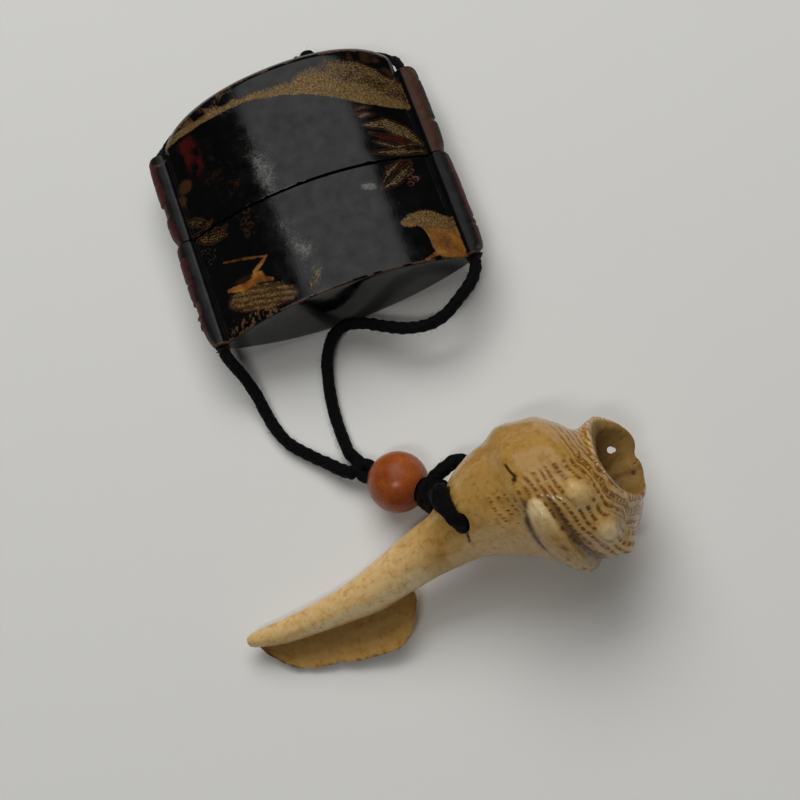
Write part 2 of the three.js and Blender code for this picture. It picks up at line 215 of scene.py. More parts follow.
def makeCamera():
    at, aim = Vector(cameraSet["at"]), Vector(cameraSet["aim"])
    back = (at - aim).normalized()
    levelRight = Vector((0, 0, 1)).cross(back).normalized()
    turn = math.radians(cameraSet["turn"])
    right = levelRight * math.cos(turn) + back.cross(levelRight) * math.sin(turn)
    up = back.cross(right)
    data = bpy.data.cameras.new("camera")
    data.lens = cameraSet["lens"]
    data.sensor_width = cameraSet["sensor"]
    data.clip_start = 0.01
    camera = bpy.data.objects.new("camera", data)
    camera.matrix_world = Matrix([[right[i], up[i], back[i], at[i] * mm] for i in range(3)] + [[0, 0, 0, 1]])
    bpy.context.scene.collection.objects.link(camera)
    bpy.context.scene.camera = camera


makeCamera()

# One black braided cord, in mm. The free strands follow the CAD's routes.
cordSet = {
    "diameter": 2.7,
    "heldDiameter": 2.1,     # pulled thin where the case holds it
    "loopDiameter": 3.1,     # and slack and full through the shell
    "strands": 4,            # each way round
    "pitch": 2.2,            # along the cord from one crossing to the next of the same strand
    "relief": 0.23,          # depth between strands, as a share of the radius
    "wander": 0.055,         # how uneven the thickness is
    "wanderLength": 1.7,
    "clear": 0.05,           # over the table
    "step": 0.16,            # between rings
    "knotStep": 0.2,         # and on short runs and knots
    "sides": 44,
    "fuzz": 1.1,             # stray fibres for each square millimetre
    "fuzzLength": 0.8,
    "fuzzRadius": 0.03,      # as a share of a fibre's length
}
leftRoute = [
    [-28.1, -37.7, 9.4], [-27.4, -40.2, 8.4], [-25.9, -43.6, 5.9], [-24.8, -47.2, 3.4],
    [-24.2, -51.2, 2], [-23.3, -55.3, 1.6], [-21.7, -59.3, 1.6], [-18.9, -62.9, 1.7],
    [-15.9, -66.2, 2.1], [-11.9, -70.5, 3.2], [-10.6, -71.8, 3.7],
]
rightRoute = [
    [28.1, -37.7, 9.4], [27.4, -39.8, 9.5], [25.4, -42.6, 9.8], [21.6, -45.4, 9.9],
    [18, -47.5, 9.7], [14.3, -48.1, 9.3], [9.7, -46.9, 8.6], [5.4, -44.4, 7.8],
    [1.5, -41.7, 6.9], [-2.3, -40.3, 5.8], [-5.5, -41.2, 4.5], [-8, -44.4, 3.1],
    [-9.6, -49.5, 2], [-10.4, -54.3, 1.6], [-10.7, -59.3, 1.6], [-10.6, -63.2, 1.8],
    [-10.3, -66.6, 2.5], [-9.4, -68.6, 3.2], [-8.4, -69.6, 3.7],
]


def lengths(path):      # how far along a path each of its points is
    return np.concatenate([[0], np.cumsum(np.linalg.norm(np.diff(path, axis=0), axis=1))])


def smoothRoute(points, step):      # even steps along a smooth curve through the points
    p = np.array(points, float)
    p = np.vstack([2 * p[0] - p[1], p, 2 * p[-1] - p[-2]])
    out = []
    for i in range(len(p) - 3):
        q = p[i:i + 4]
        k = np.concatenate([[0], np.cumsum(np.sqrt(np.linalg.norm(np.diff(q, axis=0), axis=1)))])
        t = np.linspace(k[1], k[2], 24, endpoint=False)[:, None]

        def between(a, b, low, high):
            return ((k[high] - t) * a + (t - k[low]) * b) / (k[high] - k[low])
        first, middle, last = (between(q[n], q[n + 1], n, n + 1) for n in range(3))
        out.append(between(between(first, middle, 0, 2), between(middle, last, 1, 3), 1, 2))
    out = np.vstack(out + [p[-2:-1]])
    along = lengths(out)
    places = np.linspace(0, along[-1], max(int(along[-1] / step), 4) + 1)
    return np.stack([np.interp(places, along, out[:, i]) for i in range(3)], -1)


def braidHeight(around, along):      # how far the over-and-under strands stand up, 0 to 1
    p = around * cordSet["strands"] + along / cordSet["pitch"]
    q = around * cordSet["strands"] - along / cordSet["pitch"]

    def strand(own, other, turn):
        ridge = np.cos(np.pi * (own - np.round(own)))
        over = 0.5 + 0.5 * turn * np.cos(np.pi * (other + np.round(own)))
        return ridge ** 0.7 * (0.45 + 0.55 * over)
    return np.maximum(strand(p, q, 1), strand(q, p, -1))


def tubeRings(path, size):      # rings about a path; their planes are carried along it without twist
    tangents = np.gradient(path, axis=0)
    tangents /= np.linalg.norm(tangents, axis=1)[:, None]
    side = np.cross(tangents[0], [0.31, 0.22, 0.92])      # any direction that no path starts along
    sides = []
    for tangent in tangents:
        side = side - tangent * side.dot(tangent)
        side /= np.linalg.norm(side)
        sides.append(side)
    sides = np.array(sides)
    turn = np.arange(size.shape[1]) / size.shape[1] * fullTurn
    return (path[:, None] + sides[:, None] * (size * np.cos(turn))[..., None]
            + np.cross(tangents, sides)[:, None] * (size * np.sin(turn))[..., None])


def braidTube(name, path, radius, seed):      # braided skin with rounded ends, just clear of the table
    along, around = lengths(path)[:, None], np.arange(cordSet["sides"])[None, :] / cordSet["sides"]
    uneven = 1 + cordSet["wander"] * 2 * (
        mottle(along, around * 2, cordSet["wanderLength"], seed) - 0.5)
    size = radius * uneven * (1 - cordSet["relief"] * (1 - braidHeight(around, along)))
    toEnd = np.minimum(along, along[-1] - along) + 0.08
    rings = tubeRings(path, size * np.sqrt(1 - (1 - np.clip(toEnd / (0.5 * radius), 0, 1)) ** 2))
    ends = np.array([path[0], path[-1]])
    for points in (rings, ends):
        points[..., 2] = np.maximum(points[..., 2], cordSet["clear"])
    return loft(name, rings, ends)


def fuzzTree(material):      # stray fibres standing on a cord
    tree = bpy.data.node_groups.new("cordFuzz", "GeometryNodeTree")
    for name, kind in (("Geometry", "Geometry"), ("Density", "Float"), ("Hair Length", "Float"),
                       ("Hair Radius", "Float"), ("Seed", "Int")):
        tree.interface.new_socket(name, in_out="INPUT", socket_type="NodeSocket" + kind)
    tree.interface.new_socket("Geometry", in_out="OUTPUT", socket_type="NodeSocketGeometry")
    add = partial(addNode, tree)
    given = add("NodeGroupInput").outputs
    facing = add("ShaderNodeSeparateXYZ", {}, {0: add("GeometryNodeInputNormal")})
    above = add("FunctionNodeCompare", {"operation": "GREATER_THAN"}, {0: facing.outputs[2], 1: -0.35})
    spread = add("GeometryNodeDistributePointsOnFaces", {}, {
        "Mesh": given["Geometry"], "Selection": above, "Density": given["Density"], "Seed": given["Seed"]})
    bend = add("GeometryNodeCurveQuadraticBezier", {}, {
        "Resolution": 4, "Start": (0, 0, -0.1), "Middle": (0.1, 0, 0.8), "End": (0.75, 0.1, 1.0)})
    ring = add("GeometryNodeCurvePrimitiveCircle", {}, {"Resolution": 3, "Radius": given["Hair Radius"]})
    hair = add("GeometryNodeCurveToMesh", {}, {"Curve": bend, "Profile Curve": ring, "Fill Caps": True})
    turn = add("FunctionNodeRandomValue", {"data_type": "FLOAT_VECTOR"}, {
        0: (-0.8, -0.8, -3.14), 1: (0.8, 0.8, 3.14), "Seed": given["Seed"]})
    tilt = add("FunctionNodeRotateRotation", {"rotation_space": "LOCAL"}, {
        0: spread.outputs["Rotation"], 1: add("FunctionNodeEulerToRotation", {}, {0: turn})})
    grow = add("FunctionNodeRandomValue", {"data_type": "FLOAT"}, {2: 0.25, 3: 1.0, "Seed": given["Seed"]})
    length = add("ShaderNodeMath", {"operation": "MULTIPLY"}, {
        0: grow.outputs[1], 1: given["Hair Length"]})
    hairs = add("GeometryNodeInstanceOnPoints", {}, {
        "Points": spread, "Instance": hair, "Rotation": tilt, "Scale": length})
    real = add("GeometryNodeRealizeInstances", {}, {0: hairs})
    both = add("GeometryNodeJoinGeometry", {}, {0: real})
    tree.links.new(given["Geometry"], both.inputs[0])
    dressed = add("GeometryNodeSetMaterial", {}, {"Geometry": both, "Material": material})
    add("NodeGroupOutput", {}, {0: dressed})
    return tree


def addFuzz(ob, seed, share=1.0):
    step = ob.modifiers.new("fuzz", "NODES")
    step.node_group = fuzz
    values = {"Density": cordSet["fuzz"] / mm ** 2 * share, "Hair Length": cordSet["fuzzLength"] * mm,
              "Hair Radius": cordSet["fuzzRadius"], "Seed": seed}
    for item in fuzz.interface.items_tree:
        if item.in_out == "INPUT" and item.name in values:
            step[item.identifier] = values[item.name]
    return evaluated(ob)


def cordFinish():
    # Braided silk cord, dyed black and handled for years: dull, with a faint dusty sheen on the crowns.
    material, tree, shader = newMaterial("dyedBraidedSilk")
    add = partial(addNode, tree)
    at = add("ShaderNodeTexCoord").outputs["Object"]
    thread, patch = (add("ShaderNodeTexNoise", {}, {"Vector": at, "Scale": scale, "Detail": detail})
                     for scale, detail in ((3200, 3), (300, 2)))      # 0.3 mm yarn and 3 mm patches
    tone = setRamp(add("ShaderNodeValToRGB", {}, {0: thread}), [(0.3, "#020202"), (0.75, "#0A090A")])
    share = add("ShaderNodeMath", {"operation": "MULTIPLY"}, {0: patch, 1: 0.25})
    dusty = add("ShaderNodeMix", {"data_type": "RGBA"}, {0: share, 6: tone, 7: "#141313"})
    setInputs(tree, shader, {
        "Base Color": dusty.outputs[2],
        "Roughness": add("ShaderNodeMapRange", {}, {0: patch, 3: 0.62, 4: 0.82}),
        "Normal": add("ShaderNodeBump", {}, {"Strength": 0.5, "Distance": 0.08 * mm, "Height": thread}),
        "Sheen Weight": 0.008, "Sheen Roughness": 0.5, "Specular IOR Level": 0.12})
    return material


silk = cordFinish()
fuzz = fuzzTree(silk)


def makeCords():
    for name, route, seed in (("cord_left", leftRoute, 11), ("cord_right", rightRoute, 12)):
        path = smoothRoute(route, cordSet["step"])
        ob = addFuzz(braidTube("braid_" + name, path, cordSet["diameter"] / 2, seed), seed)
        place(ob, silk, 180, "cord", name)


makeCords()

# The case, in mm: the CAD's own dimensions, then what the fine surface adds.
caseSet = {
    "halfWidth": 26.5, "archRise": 7.6, "sideFlat": 3.9, "nearY": -37.4, "partY": -12,
    "shoulderY": 10.4, "shoulderRise": 7.9, "endSlant": 0.045, "shoulderPower": 3, "backFlat": 0.15,
    "lidWall": 1.4, "bodyWall": 2.8, "endWall": 2, "riserHeight": 7, "gap": 0.3,
    "runnerX": 28.1, "runnerRadius": 2.75, "runnerEndY": 10, "boreRadius": 1.75,
    # slices, points along the front and the back of each, and round its near and far corners
    "fineSteps": (300, 96, 34, 5, 9), "toolSteps": (60, 10, 10, 4, 5),
    "partEdge": 0.3, "nearEdge": 0.55, "farEdge": 2.6, "cornerRadius": 1.15, "dent": 0.07, "chip": 0.35,
}
archRadius = (caseSet["halfWidth"] ** 2 + caseSet["archRise"] ** 2) / (2 * caseSet["archRise"])
halfThick = caseSet["archRise"] + caseSet["sideFlat"] / 2
midZ = halfThick - caseSet["backFlat"]


def faceHeight(x, inset=0.0):      # the arched face over the case's middle plane
    radius = archRadius - inset
    return halfThick - inset - (radius - np.sqrt(radius ** 2 - np.asarray(x) ** 2))


def farEnd(x, inset=0.0):
    c = caseSet
    side = np.minimum(np.abs(x) / (c["halfWidth"] + 0.05), 1)
    power = c["shoulderPower"]
    return c["shoulderY"] + c["shoulderRise"] * (1 - side ** power) ** (1 / power) + c["endSlant"] * x - inset


def corner(steps, start, radius, y, z):      # a quarter turn of points about (y, z), in the slice's plane
    turn = start + np.linspace(0, math.pi / 2, steps)
    return np.stack([y + radius * np.cos(turn), z + radius * np.sin(turn)], -1)


def caseLoft(name, y0, y1, inset, sideInset, edges, wear=None):
    # Upright slices from side to side. Each is an oblong from y0 to y1(x), its corners rounded by edges.
    # The outer skins have no inset and are made fine; the tools that hollow them are plain.
    c = caseSet
    fine = inset == 0
    count, front, back, steps0, steps1 = c["fineSteps"] if fine else c["toolSteps"]
    reach = c["halfWidth"] - sideInset
    slices = []
    for i in range(count + 1):
        x = reach * math.sin((i / count * 2 - 1) * math.pi / 2)
        half = float(faceHeight(x, inset))
        if fine:      # the long corners between face and narrow side are rubbed round
            into = min(max((abs(x) - reach) / c["cornerRadius"] + 1, 0), 1)
            half -= c["cornerRadius"] * (1 - math.sqrt(1 - into ** 2 * 0.96))
        far = float(y1(x))
        near = y0 + (float(wear(x)) if wear else 0.0)
        r0, r1 = (min(edge, half * 0.9) for edge in edges)
        ring = np.vstack([
            corner(steps1, -math.pi / 2, r1, far - r1, r1 - half),
            np.stack([np.full(9, far), np.linspace(r1 - half, half - r1, 11)[1:-1]], -1),
            corner(steps1, 0, r1, far - r1, half - r1),
            np.stack([np.linspace(far - r1, near + r0, front + 2)[1:-1], np.full(front, half)], -1),
            corner(steps0, math.pi / 2, r0, near + r0, half - r0),
            np.stack([np.full(11, near), np.linspace(half - r0, r0 - half, 13)[1:-1]], -1),
            corner(steps0, math.pi, r0, near + r0, r0 - half),
            np.stack([np.linspace(near + r0, far - r1, back + 2)[1:-1], np.full(back, -half)], -1)])
        slices.append(np.stack([np.full(len(ring), x), ring[:, 0], midZ + ring[:, 1]], -1))
    rings = np.array(slices)
    ends = [[side * reach, (y0 + float(y1(side * reach))) / 2, midZ] for side in (-1, 1)]
    if fine:      # old wood under the lacquer: shallow waves, never proud of the drawn surface
        x, y, z = (rings[..., n] for n in range(3))
        wave = mottle(x, y, 7.5, 3) * 0.7 + mottle(x, y, 2.6, 4) * 0.3
        rings[..., 2] -= np.sign(z - midZ) * wave * c["dent"] * (np.abs(z - midZ) > 2)
    rings[..., 2] = np.maximum(rings[..., 2], 0)
    return loft(name, rings, ends)


def runnerLoft(side, y0, y1, seed):      # the ridge that holds the cord, nicked and worn at both ends
    c = caseSet
    along = np.linspace(y0, y1, int((y1 - y0) / 0.25))[:, None]
    turn = np.arange(48)[None, :] / 48 * fullTurn
    worn = track([[y0, 0.6], [y0 + 3, 0.95], [(y0 + y1) / 2, 1.02], [y1 - 3.2, 1], [y1, 0.9]], along)
    chips = smooth(0.62, 0.9, mottle(along, turn * 0.8, 1.3, seed)) * c["chip"]
    nicks = smooth(0.78, 0.86, mottle(along, turn * 0, 1.9, seed + 1)) * 0.5
    swell = np.where(np.cos(turn) > 0, worn, 1.0) * c["runnerRadius"] - (chips + nicks) * (np.cos(turn) > 0)
    swell = swell - 0.25 * (1 - smooth(0, 0.5, along - y0) * smooth(0, 0.5, y1 - along))
    rings = np.stack(np.broadcast_arrays(side * (c["runnerX"] + 0.2 + swell * np.cos(turn)), along,
                                         midZ + c["runnerRadius"] * 0.96 * np.sin(turn)), -1)
    return loft("runner", rings, [[side * c["runnerX"], y, midZ] for y in (y0, y1)])


def tubeTool(path, radius, sides):      # plain round tube along a path, to cut with
    path = np.array(path, float)
    return loft("tool", tubeRings(path, np.full((len(path), sides), radius)), [path[0], path[-1]])


def makeCaseHalves():
    c = caseSet
    half = c["gap"] / 2

    def nicks(seed):      # small losses along the parting edge
        return lambda x: 0.22 * smooth(0.7, 0.95, float(mottle(x, 0.0, 1.1, seed)))
    body = caseLoft("inroBodyLacquered", c["partY"] + half, farEnd, 0, 0,
                    (c["partEdge"], c["farEdge"]), nicks(21))
    lid = caseLoft("inroLidLacquered", c["nearY"], lambda x: c["partY"] - half - nicks(22)(x), 0, 0,
                   (c["nearEdge"], c["partEdge"]))
    for side, seed in ((-1, 31), (1, 35)):
        carve(body, runnerLoft(side, c["partY"] + half, c["runnerEndY"], seed), "UNION")
        carve(lid, runnerLoft(side, c["nearY"] + 0.2, c["partY"] - half, seed + 2), "UNION")
    wall = c["lidWall"] + c["gap"]      # the riser stands inside the lid
    carve(body, caseLoft("riser", c["partY"] - c["riserHeight"], lambda x: c["partY"] + 1, wall, wall * 1.7,
                         (0.4, 0.2)), "UNION")
    for ob, inset, y0, y1 in ((body, c["bodyWall"], c["nearY"] - 5, lambda x: farEnd(x, c["endWall"])),
                              (lid, c["lidWall"], c["nearY"] + c["endWall"], lambda x: c["partY"] + 8)):
        carve(ob, caseLoft("hollow", y0, y1, inset, inset * 1.7, (1, 1)), "DIFFERENCE")
        for x in (-c["runnerX"], c["runnerX"]):
            carve(ob, tubeTool([(x, -45, midZ), (x, 25, midZ)], c["boreRadius"], 40), "DIFFERENCE")
    return body, lid


def nearLine(x, y, points):      # distance to a line through the points, and how far along it, 0 to 1
    best, where = np.full(x.shape, 1e9), np.zeros(x.shape)
    points = np.array(points, float)
    done = lengths(points)
    for (ax, ay), (bx, by), start, step in zip(points[:-1], points[1:], done, np.diff(done)):
        t = np.clip(((x - ax) * (bx - ax) + (y - ay) * (by - ay)) / step ** 2, 0, 1)
        distance = np.hypot(x - ax - t * (bx - ax), y - ay - t * (by - ay))
        closer = distance < best
        best = np.where(closer, distance, best)
        where = np.where(closer, (start + t * step) / done[-1], where)
    return best, where


def dab(x, y, at, size, turn=0.0, soft=0.25):      # a rounded patch
    c, s = math.cos(math.radians(turn)), math.sin(math.radians(turn))
    u, v = (x - at[0]) * c + (y - at[1]) * s, (y - at[1]) * c - (x - at[0]) * s
    return smooth(1 + soft, 1 - soft, np.hypot(u / size[0], v / size[1]))


# What is painted on the front, in mm on the face. Every figure is a plain one of the painter's stock:
# a band of mist, hills, reeds, grass and scrolled bushes.
paintSet = {
    "mistLow": [[-27, 10.7], [-17, 11.3], [-7, 11.2], [1, 9.6], [9, 7], [17, 2.9], [22, 0.9], [27, -0.3]],
    "mistHigh": [[-27, 13], [-16, 13.4], [-7, 13.1], [2, 12.4], [7, 13.6], [12, 15.2], [19, 13.6], [27, 7]],
    "mistBright": [[-27, 12.4], [-7, 12.4], [3, 11.4], [7, 11.9], [11, 11.4], [15, 8.4], [19, 6], [23, 2.8],
                   [27, 0.4]],
    "hillTop": [[15.4, -27.4], [17, -26.4], [18.6, -25.5], [22.3, -25.2], [25.6, -27.2], [27, -27.6]],
    "hillFoot": [[15.4, -27.9], [17.4, -28.6], [19.5, -29.2], [20.4, -31.2], [20.6, -34.6], [21.6, -36.8],
                 [27, -38]],
    # the left edge of the lacquer's sheen, along which the painted glow lies
    "scuff": [[-38, -3.6], [-34, -4.2], [-28, -5], [-20, -7.4], [-9, -7.6], [1, -8.4], [12, -9.6]],   # y, x
}


def paintFront(x, y):      # powder gold, bright gold, red under-coat, rubbed patches, brown outlines, scuffs; and a painted highlight along the long corners and a painted glow at the sheen's edge
    fields = {name: np.zeros_like(x) for name in ("powder", "bright", "red", "pale", "brown", "scuff")}

    def lay(name, amount, values):
        fields[name] = np.maximum(fields[name], values * amount)

    def patches(rows, over=1.0):      # colour, amount, where, half sizes, turn, softness
        for name, amount, at, size, turn, soft in rows:
            lay(name, amount, dab(x, y, at, size, turn, soft) * over)

    def strokes(*rows):      # colour, amount, width, softness, then the line; thin at both ends
        for name, amount, width, soft, *line in rows:
            distance, where = nearLine(x, y, line)
            half = width / 2 * (0.25 + 0.75 * np.sin(np.pi * np.clip(where, 0.03, 0.97)) ** 0.6)
            lay(name, amount, smooth(half + soft, half - soft * 0.3, distance))

    def leaves(*rows):      # how much powder gold and red, width, then the line; lens-shaped with an outline
        for powder, red, width, *line in rows:
            distance, where = nearLine(x, y, line)
            half = width / 2 * np.sin(np.pi * np.clip(where, 0.02, 0.98)) ** 0.8
            body = smooth(half + 0.1, half - 0.35, distance)
            lay("powder", powder, body * (0.72 + 0.28 * np.cos(distance * 11)))
            lay("red", red, body)
            lay("brown", 0.75, hump(distance, half + 0.15, 0.2))

    def scrolls(name, amount, radius, grow, width, *spots):      # small open rings, for scrolled foliage
        for n, at in enumerate(spots):
            away = np.abs(np.hypot(x - at[0], y - at[1]) - radius - grow * (n % 2))
            opening = smooth(-2.9, -2.2, np.arctan2(y - at[1], x - at[0]))
            lay(name, amount, smooth(width / 2 + 0.2, width / 2, away) * opening)

    coarse, ragged = mottle(x, y, 2.2, 51), mottle(x, y, 1.3, 52) * 0.6 + mottle(x, y, 3.1, 53) * 0.6
    wob = (coarse - 0.5) * 0.8
    low = track(paintSet["mistLow"], x) + wob * 0.25
    high, thick = track(paintSet["mistHigh"], x) + wob * 1.6, track(paintSet["mistBright"], x) + wob
    mist = smooth(low - 0.15, low + 0.25, y) * smooth(high + 0.6, high - 1.2, y)
    thinned = 0.36 * smooth(thick - 0.8, thick + 1.6, y) * smooth(-4, 6, x)
    lay("powder", 1, mist * (0.74 - thinned + 0.16 * (ragged - 0.5)))
    lay("brown", 0.55, mist)
    lay("brown", 0.6, smooth(high - 1, high + 1, y) * smooth(6, 16, x) * smooth(0.35, 0.75, ragged))
    # dark red under-coat showing on the left, and faint flecks of it further in
    streaky = smooth(0.15, 0.7, mottle(x, y * 0.3, 0.9, 56) * 0.5 + ragged * 0.5)
    patches([("red", 0.75, (-21.2, 6.2), (2.3, 6.6), 4, 0.55)], streaky * smooth(11, 10, y))
    patches([("brown", 0.5, (-14.2, -14.6), (2.3, 4.8), 8, 0.6),
             ("brown", 0.35, (-15.5, -2.0), (4.0, 7.5), 6, 0.6)],
            smooth(0.55, 0.8, mottle(x, y, 0.75, 57)))
    patches([("red", 0.4, (-14.0, -5.4), (1.7, 0.7), -38, 0.6),
             ("brown", 0.9, (-24.6, 0.2), (1.7, 1.5), 0, 0.5),
             ("brown", 0.7, (-26.0, -2.4), (0.9, 1.4), 0, 0.5),
             # curls under the mist
             ("brown", 0.6, (16.6, 1.8), (2.4, 0.9), -8, 0.6),
             ("brown", 0.6, (16.9, -0.1), (2.4, 0.9), -8, 0.6)])
    strokes(("pale", 0.5, 0.8, 0.3, (15.3, 1.5), (16.6, 1.8), (17.5, 1.9)),
            ("pale", 0.5, 0.8, 0.3, (15.6, -0.4), (16.9, -0.1), (17.8, 0.0)))
    # a fan of broad leaves on the body's right, and the same plant below the parting with small scrolls
    leaves((0.66, 0, 3.0, (15.8, -2.6), (20.2, -3.2), (24.0, -6.2), (26.4, -9.2)),
           (0, 0.8, 1.1, (16.4, -4.7), (20.1, -6.6), (25.0, -8.8)),
           (0.6, 0, 0.9, (16.6, -6.9), (20.7, -9.1), (25.6, -8.9)),
           (0.62, 0, 1.5, (15.6, -9.6), (20.7, -10.4), (27.2, -11.0)),
           (0.6, 0.3, 1.2, (14.8, -18.0), (17.4, -15.0), (20.6, -12.6)),
           (0.64, 0, 1.7, (14.6, -18.8), (18.5, -17.2), (22.6, -13.6)),
           (0.3, 0.6, 1.0, (17.2, -13.6), (19.4, -13.9), (22.4, -12.8)))
    berries = ((21.9, -15.4), (21.3, -16.9), (22.3, -17.4), (20.9, -18.5))
    scrolls("pale", 0.5, 0.5, 0.08, 0.16, *berries)
    patches([("red", 0.5, at, (0.9, 0.9), 0, 0.5) for at in berries])
    patches([("pale", 0.62, (12.4, -17.4), (1.9, 1.0), -12, 0.5)])
    strokes(("pale", 0.32, 0.9, 0.5, (12.0, -19.6), (11.6, -20.8), (11.5, -22.6)))
    # a hill on the right of the lid, rising off the near edge
    top, foot = track(paintSet["hillTop"], x) + wob * 0.5, track(paintSet["hillFoot"], x)
    hill = smooth(top + 0.5, top - 0.6, y) * smooth(foot - 0.3, foot + 0.5, y + wob * 0.5)
    hill = hill * smooth(15.4, 16.4, x)
    lower = 1 - 0.75 * smooth(-31.5, -26.5, y + 0.35 * (x - 21))
    lay("powder", 0.66, hill)
    lay("bright", 0.62, hill * lower * smooth(0.2, 0.9, ragged + 0.25))
    lay("brown", 0.8, hill)
    strokes(("bright", 0.6, 0.9, 0.4, (18.4, -36.9), (21.4, -35.6), (26.4, -37.0)))
    # the left plant, half on the lid and half on the body, dim and rubbed
    leaves((0.42, 0, 1.6, (-27.0, -7.2), (-24.6, -8.9), (-22.2, -10.8)),
           (0.36, 0.2, 1.1, (-26.8, -11.4), (-24.0, -12.0), (-21.4, -10.6)),
           (0.5, 0, 2.0, (-25.8, -12.6), (-22.6, -14.4), (-19.4, -15.4)),
           (0.3, 0.4, 1.1, (-22.0, -12.4), (-20.2, -14.0), (-18.6, -13.4)))
    scrolls("pale", 0.42, 0.42, 0.08, 0.16, (-25.2, -15.9), (-24.2, -16.2), (-23.1, -16.9), (-24.6, -17.3),
            (-23.4, -18.2), (-24.4, -18.9))
    scrolls("brown", 0.6, 0.6, 0, 0.2, (-13.6, -12.6), (-14.9, -14.6), (-13.8, -16.2), (-15.0, -17.6))
    # left hill on the lid: a thin ribbon folded back into a slope, and streaks of water below it
    strokes(("bright", 0.62, 0.5, 0.3, (-21.8, -20.9), (-17.0, -22.7), (-12.8, -24.4)),
            ("bright", 0.7, 0.75, 0.3, (-12.7, -24.3), (-14.2, -25.4), (-16.2, -26.4), (-16.4, -27.4)),
            ("bright", 0.9, 1.5, 0.35, (-22.6, -27.3), (-19.0, -28.5), (-16.0, -28.2), (-13.2, -29.8)))
    patches([("bright", 0.9, (-15.8, -28.0), (1.5, 1.3), -20, 0.4),
             ("brown", 0.5, (-17.6, -27.6), (3.6, 1.3), -16, 0.4)])
    pool = ((-16.2, -32.4), (7.6, 2.9), -20, 0.25)
    lines = 0.72 + 0.28 * np.cos((y + (0.34 + 0.06 * coarse) * x + 0.9 * wob) * 4.6)
    patches([("powder", 0.6, *pool)], lines * smooth(0.1, 0.7, ragged + 0.1))
    patches([("brown", 0.9, *pool)])
    patches([("powder", 0.66, (-4.6, -33.8), (2.3, 0.9), 42, 0.7)], smooth(0.2, 0.7, ragged + 0.2))
    # a painted reflection: a cloudy glow of lamp light along the left edge of the lacquer's sheen, broken up
    # like scuffed polish
    cloud = 0.6 + 0.4 * smooth(0.3, 0.8, mottle(x, y, 2.7, 54) * 0.5 + mottle(x, y, 0.6, 55) * 0.6)
    glow = 0.3 + 0.7 * (hump(y, -6, 5.5) + hump(y, -25.5, 6))
    lay("scuff", 0.9, hump(x, track(paintSet["scuff"], y) + 0.4, 2.5) * cloud * glow)
    # a painted highlight: a thin pale line along the rounded long corners, where they would catch the light
    lay("pale", 0.33, hump(np.abs(x), 25.8, 0.45) * (0.5 + 0.5 * coarse))
    return fields


def paintCase(ob, lid):
    c = caseSet
    x, y, z = (read(ob) / mm).T
    n = read(ob, "normal")
    inside = ((np.abs(z - midZ) < faceHeight(np.clip(x, -c["halfWidth"], c["halfWidth"])) - 0.9)
              & (np.abs(x) < 25.8) & (y > c["nearY"] + 0.4) & (y < farEnd(x, 0.4)))
    front = (n[:, 2] > 0.35) & (z > midZ + 1.6) & (np.abs(x) < c["halfWidth"] + 0.2) & ~inside
    fields = {name: values * front for name, values in paintFront(x, y).items()}
    rough, fine = mottle(x, y + z, 1.6, 61), mottle(x * 1.3, y - z, 0.5, 62)
    # the ridges: bare brown along their length, red under-coat on the outer side only
    ridge = smooth(27.4, 28.0, np.abs(x))
    upper = z > midZ - 1
    outer = smooth(29.2, 29.9, np.abs(x) + 0.9 * (rough - 0.5)) * upper
    if lid:
        red = np.where(x < 0, outer, smooth(29.9, 30.3, x + 0.4 * (fine - 0.5))) * 0.95 * upper
    else:
        bare = smooth(-0.1, 0.6, n[:, 2] + 0.3 * (rough - 0.5)) * ridge * (x > 0) * smooth(30.7, 30.0, x)
        red = most(outer * (x < 0) * 0.95, bare * smooth(0.3, 0.6, rough) * 0.6)
        fields["brown"] = most(fields["brown"], bare)
        fields["bright"] = most(fields["bright"], bare * smooth(0.3, 0.75, fine) * 0.3)
    fields["red"] = most(fields["red"], red)
    # worn edges: the rim of the far end, the near rim, the parting edges, the ends of the ridges
    farRim = hump(y, farEnd(x) - 1.1, 0.9) * (z > midZ) * (~inside)
    nearRim = hump(y, c["nearY"] + 0.25, 0.3) * (n[:, 1] > -0.97)
    partRim = hump(y, c["partY"], 0.3) * (n[:, 2] > 0.2)
    ends = smooth(1.6, 0.2, np.minimum(np.abs(y - c["partY"]), np.abs(y - c["nearY"])))
    fields["wear"] = most(
        farRim * smooth(0.25, 0.7, rough) * 0.8 + nearRim * smooth(0.0, 0.6, rough) * 0.8
        + partRim * smooth(0.5, 0.9, fine) * 0.5,
        dab(x, y, (-19.0, -36.0), (6.5, 1.7), 0, 0.4) * front * lid * smooth(0.2, 0.7, fine) * 0.7,
        dab(x, y, (-16.0, 13.8), (9.0, 1.6), 14, 0.5) * front * smooth(0.25, 0.7, rough) * 0.6,
        ridge * ends * smooth(0.45, 0.7, fine) * 0.6)
    giveValues(ob, dull=most(inside * 1.0, ridge * 0.9), **fields)


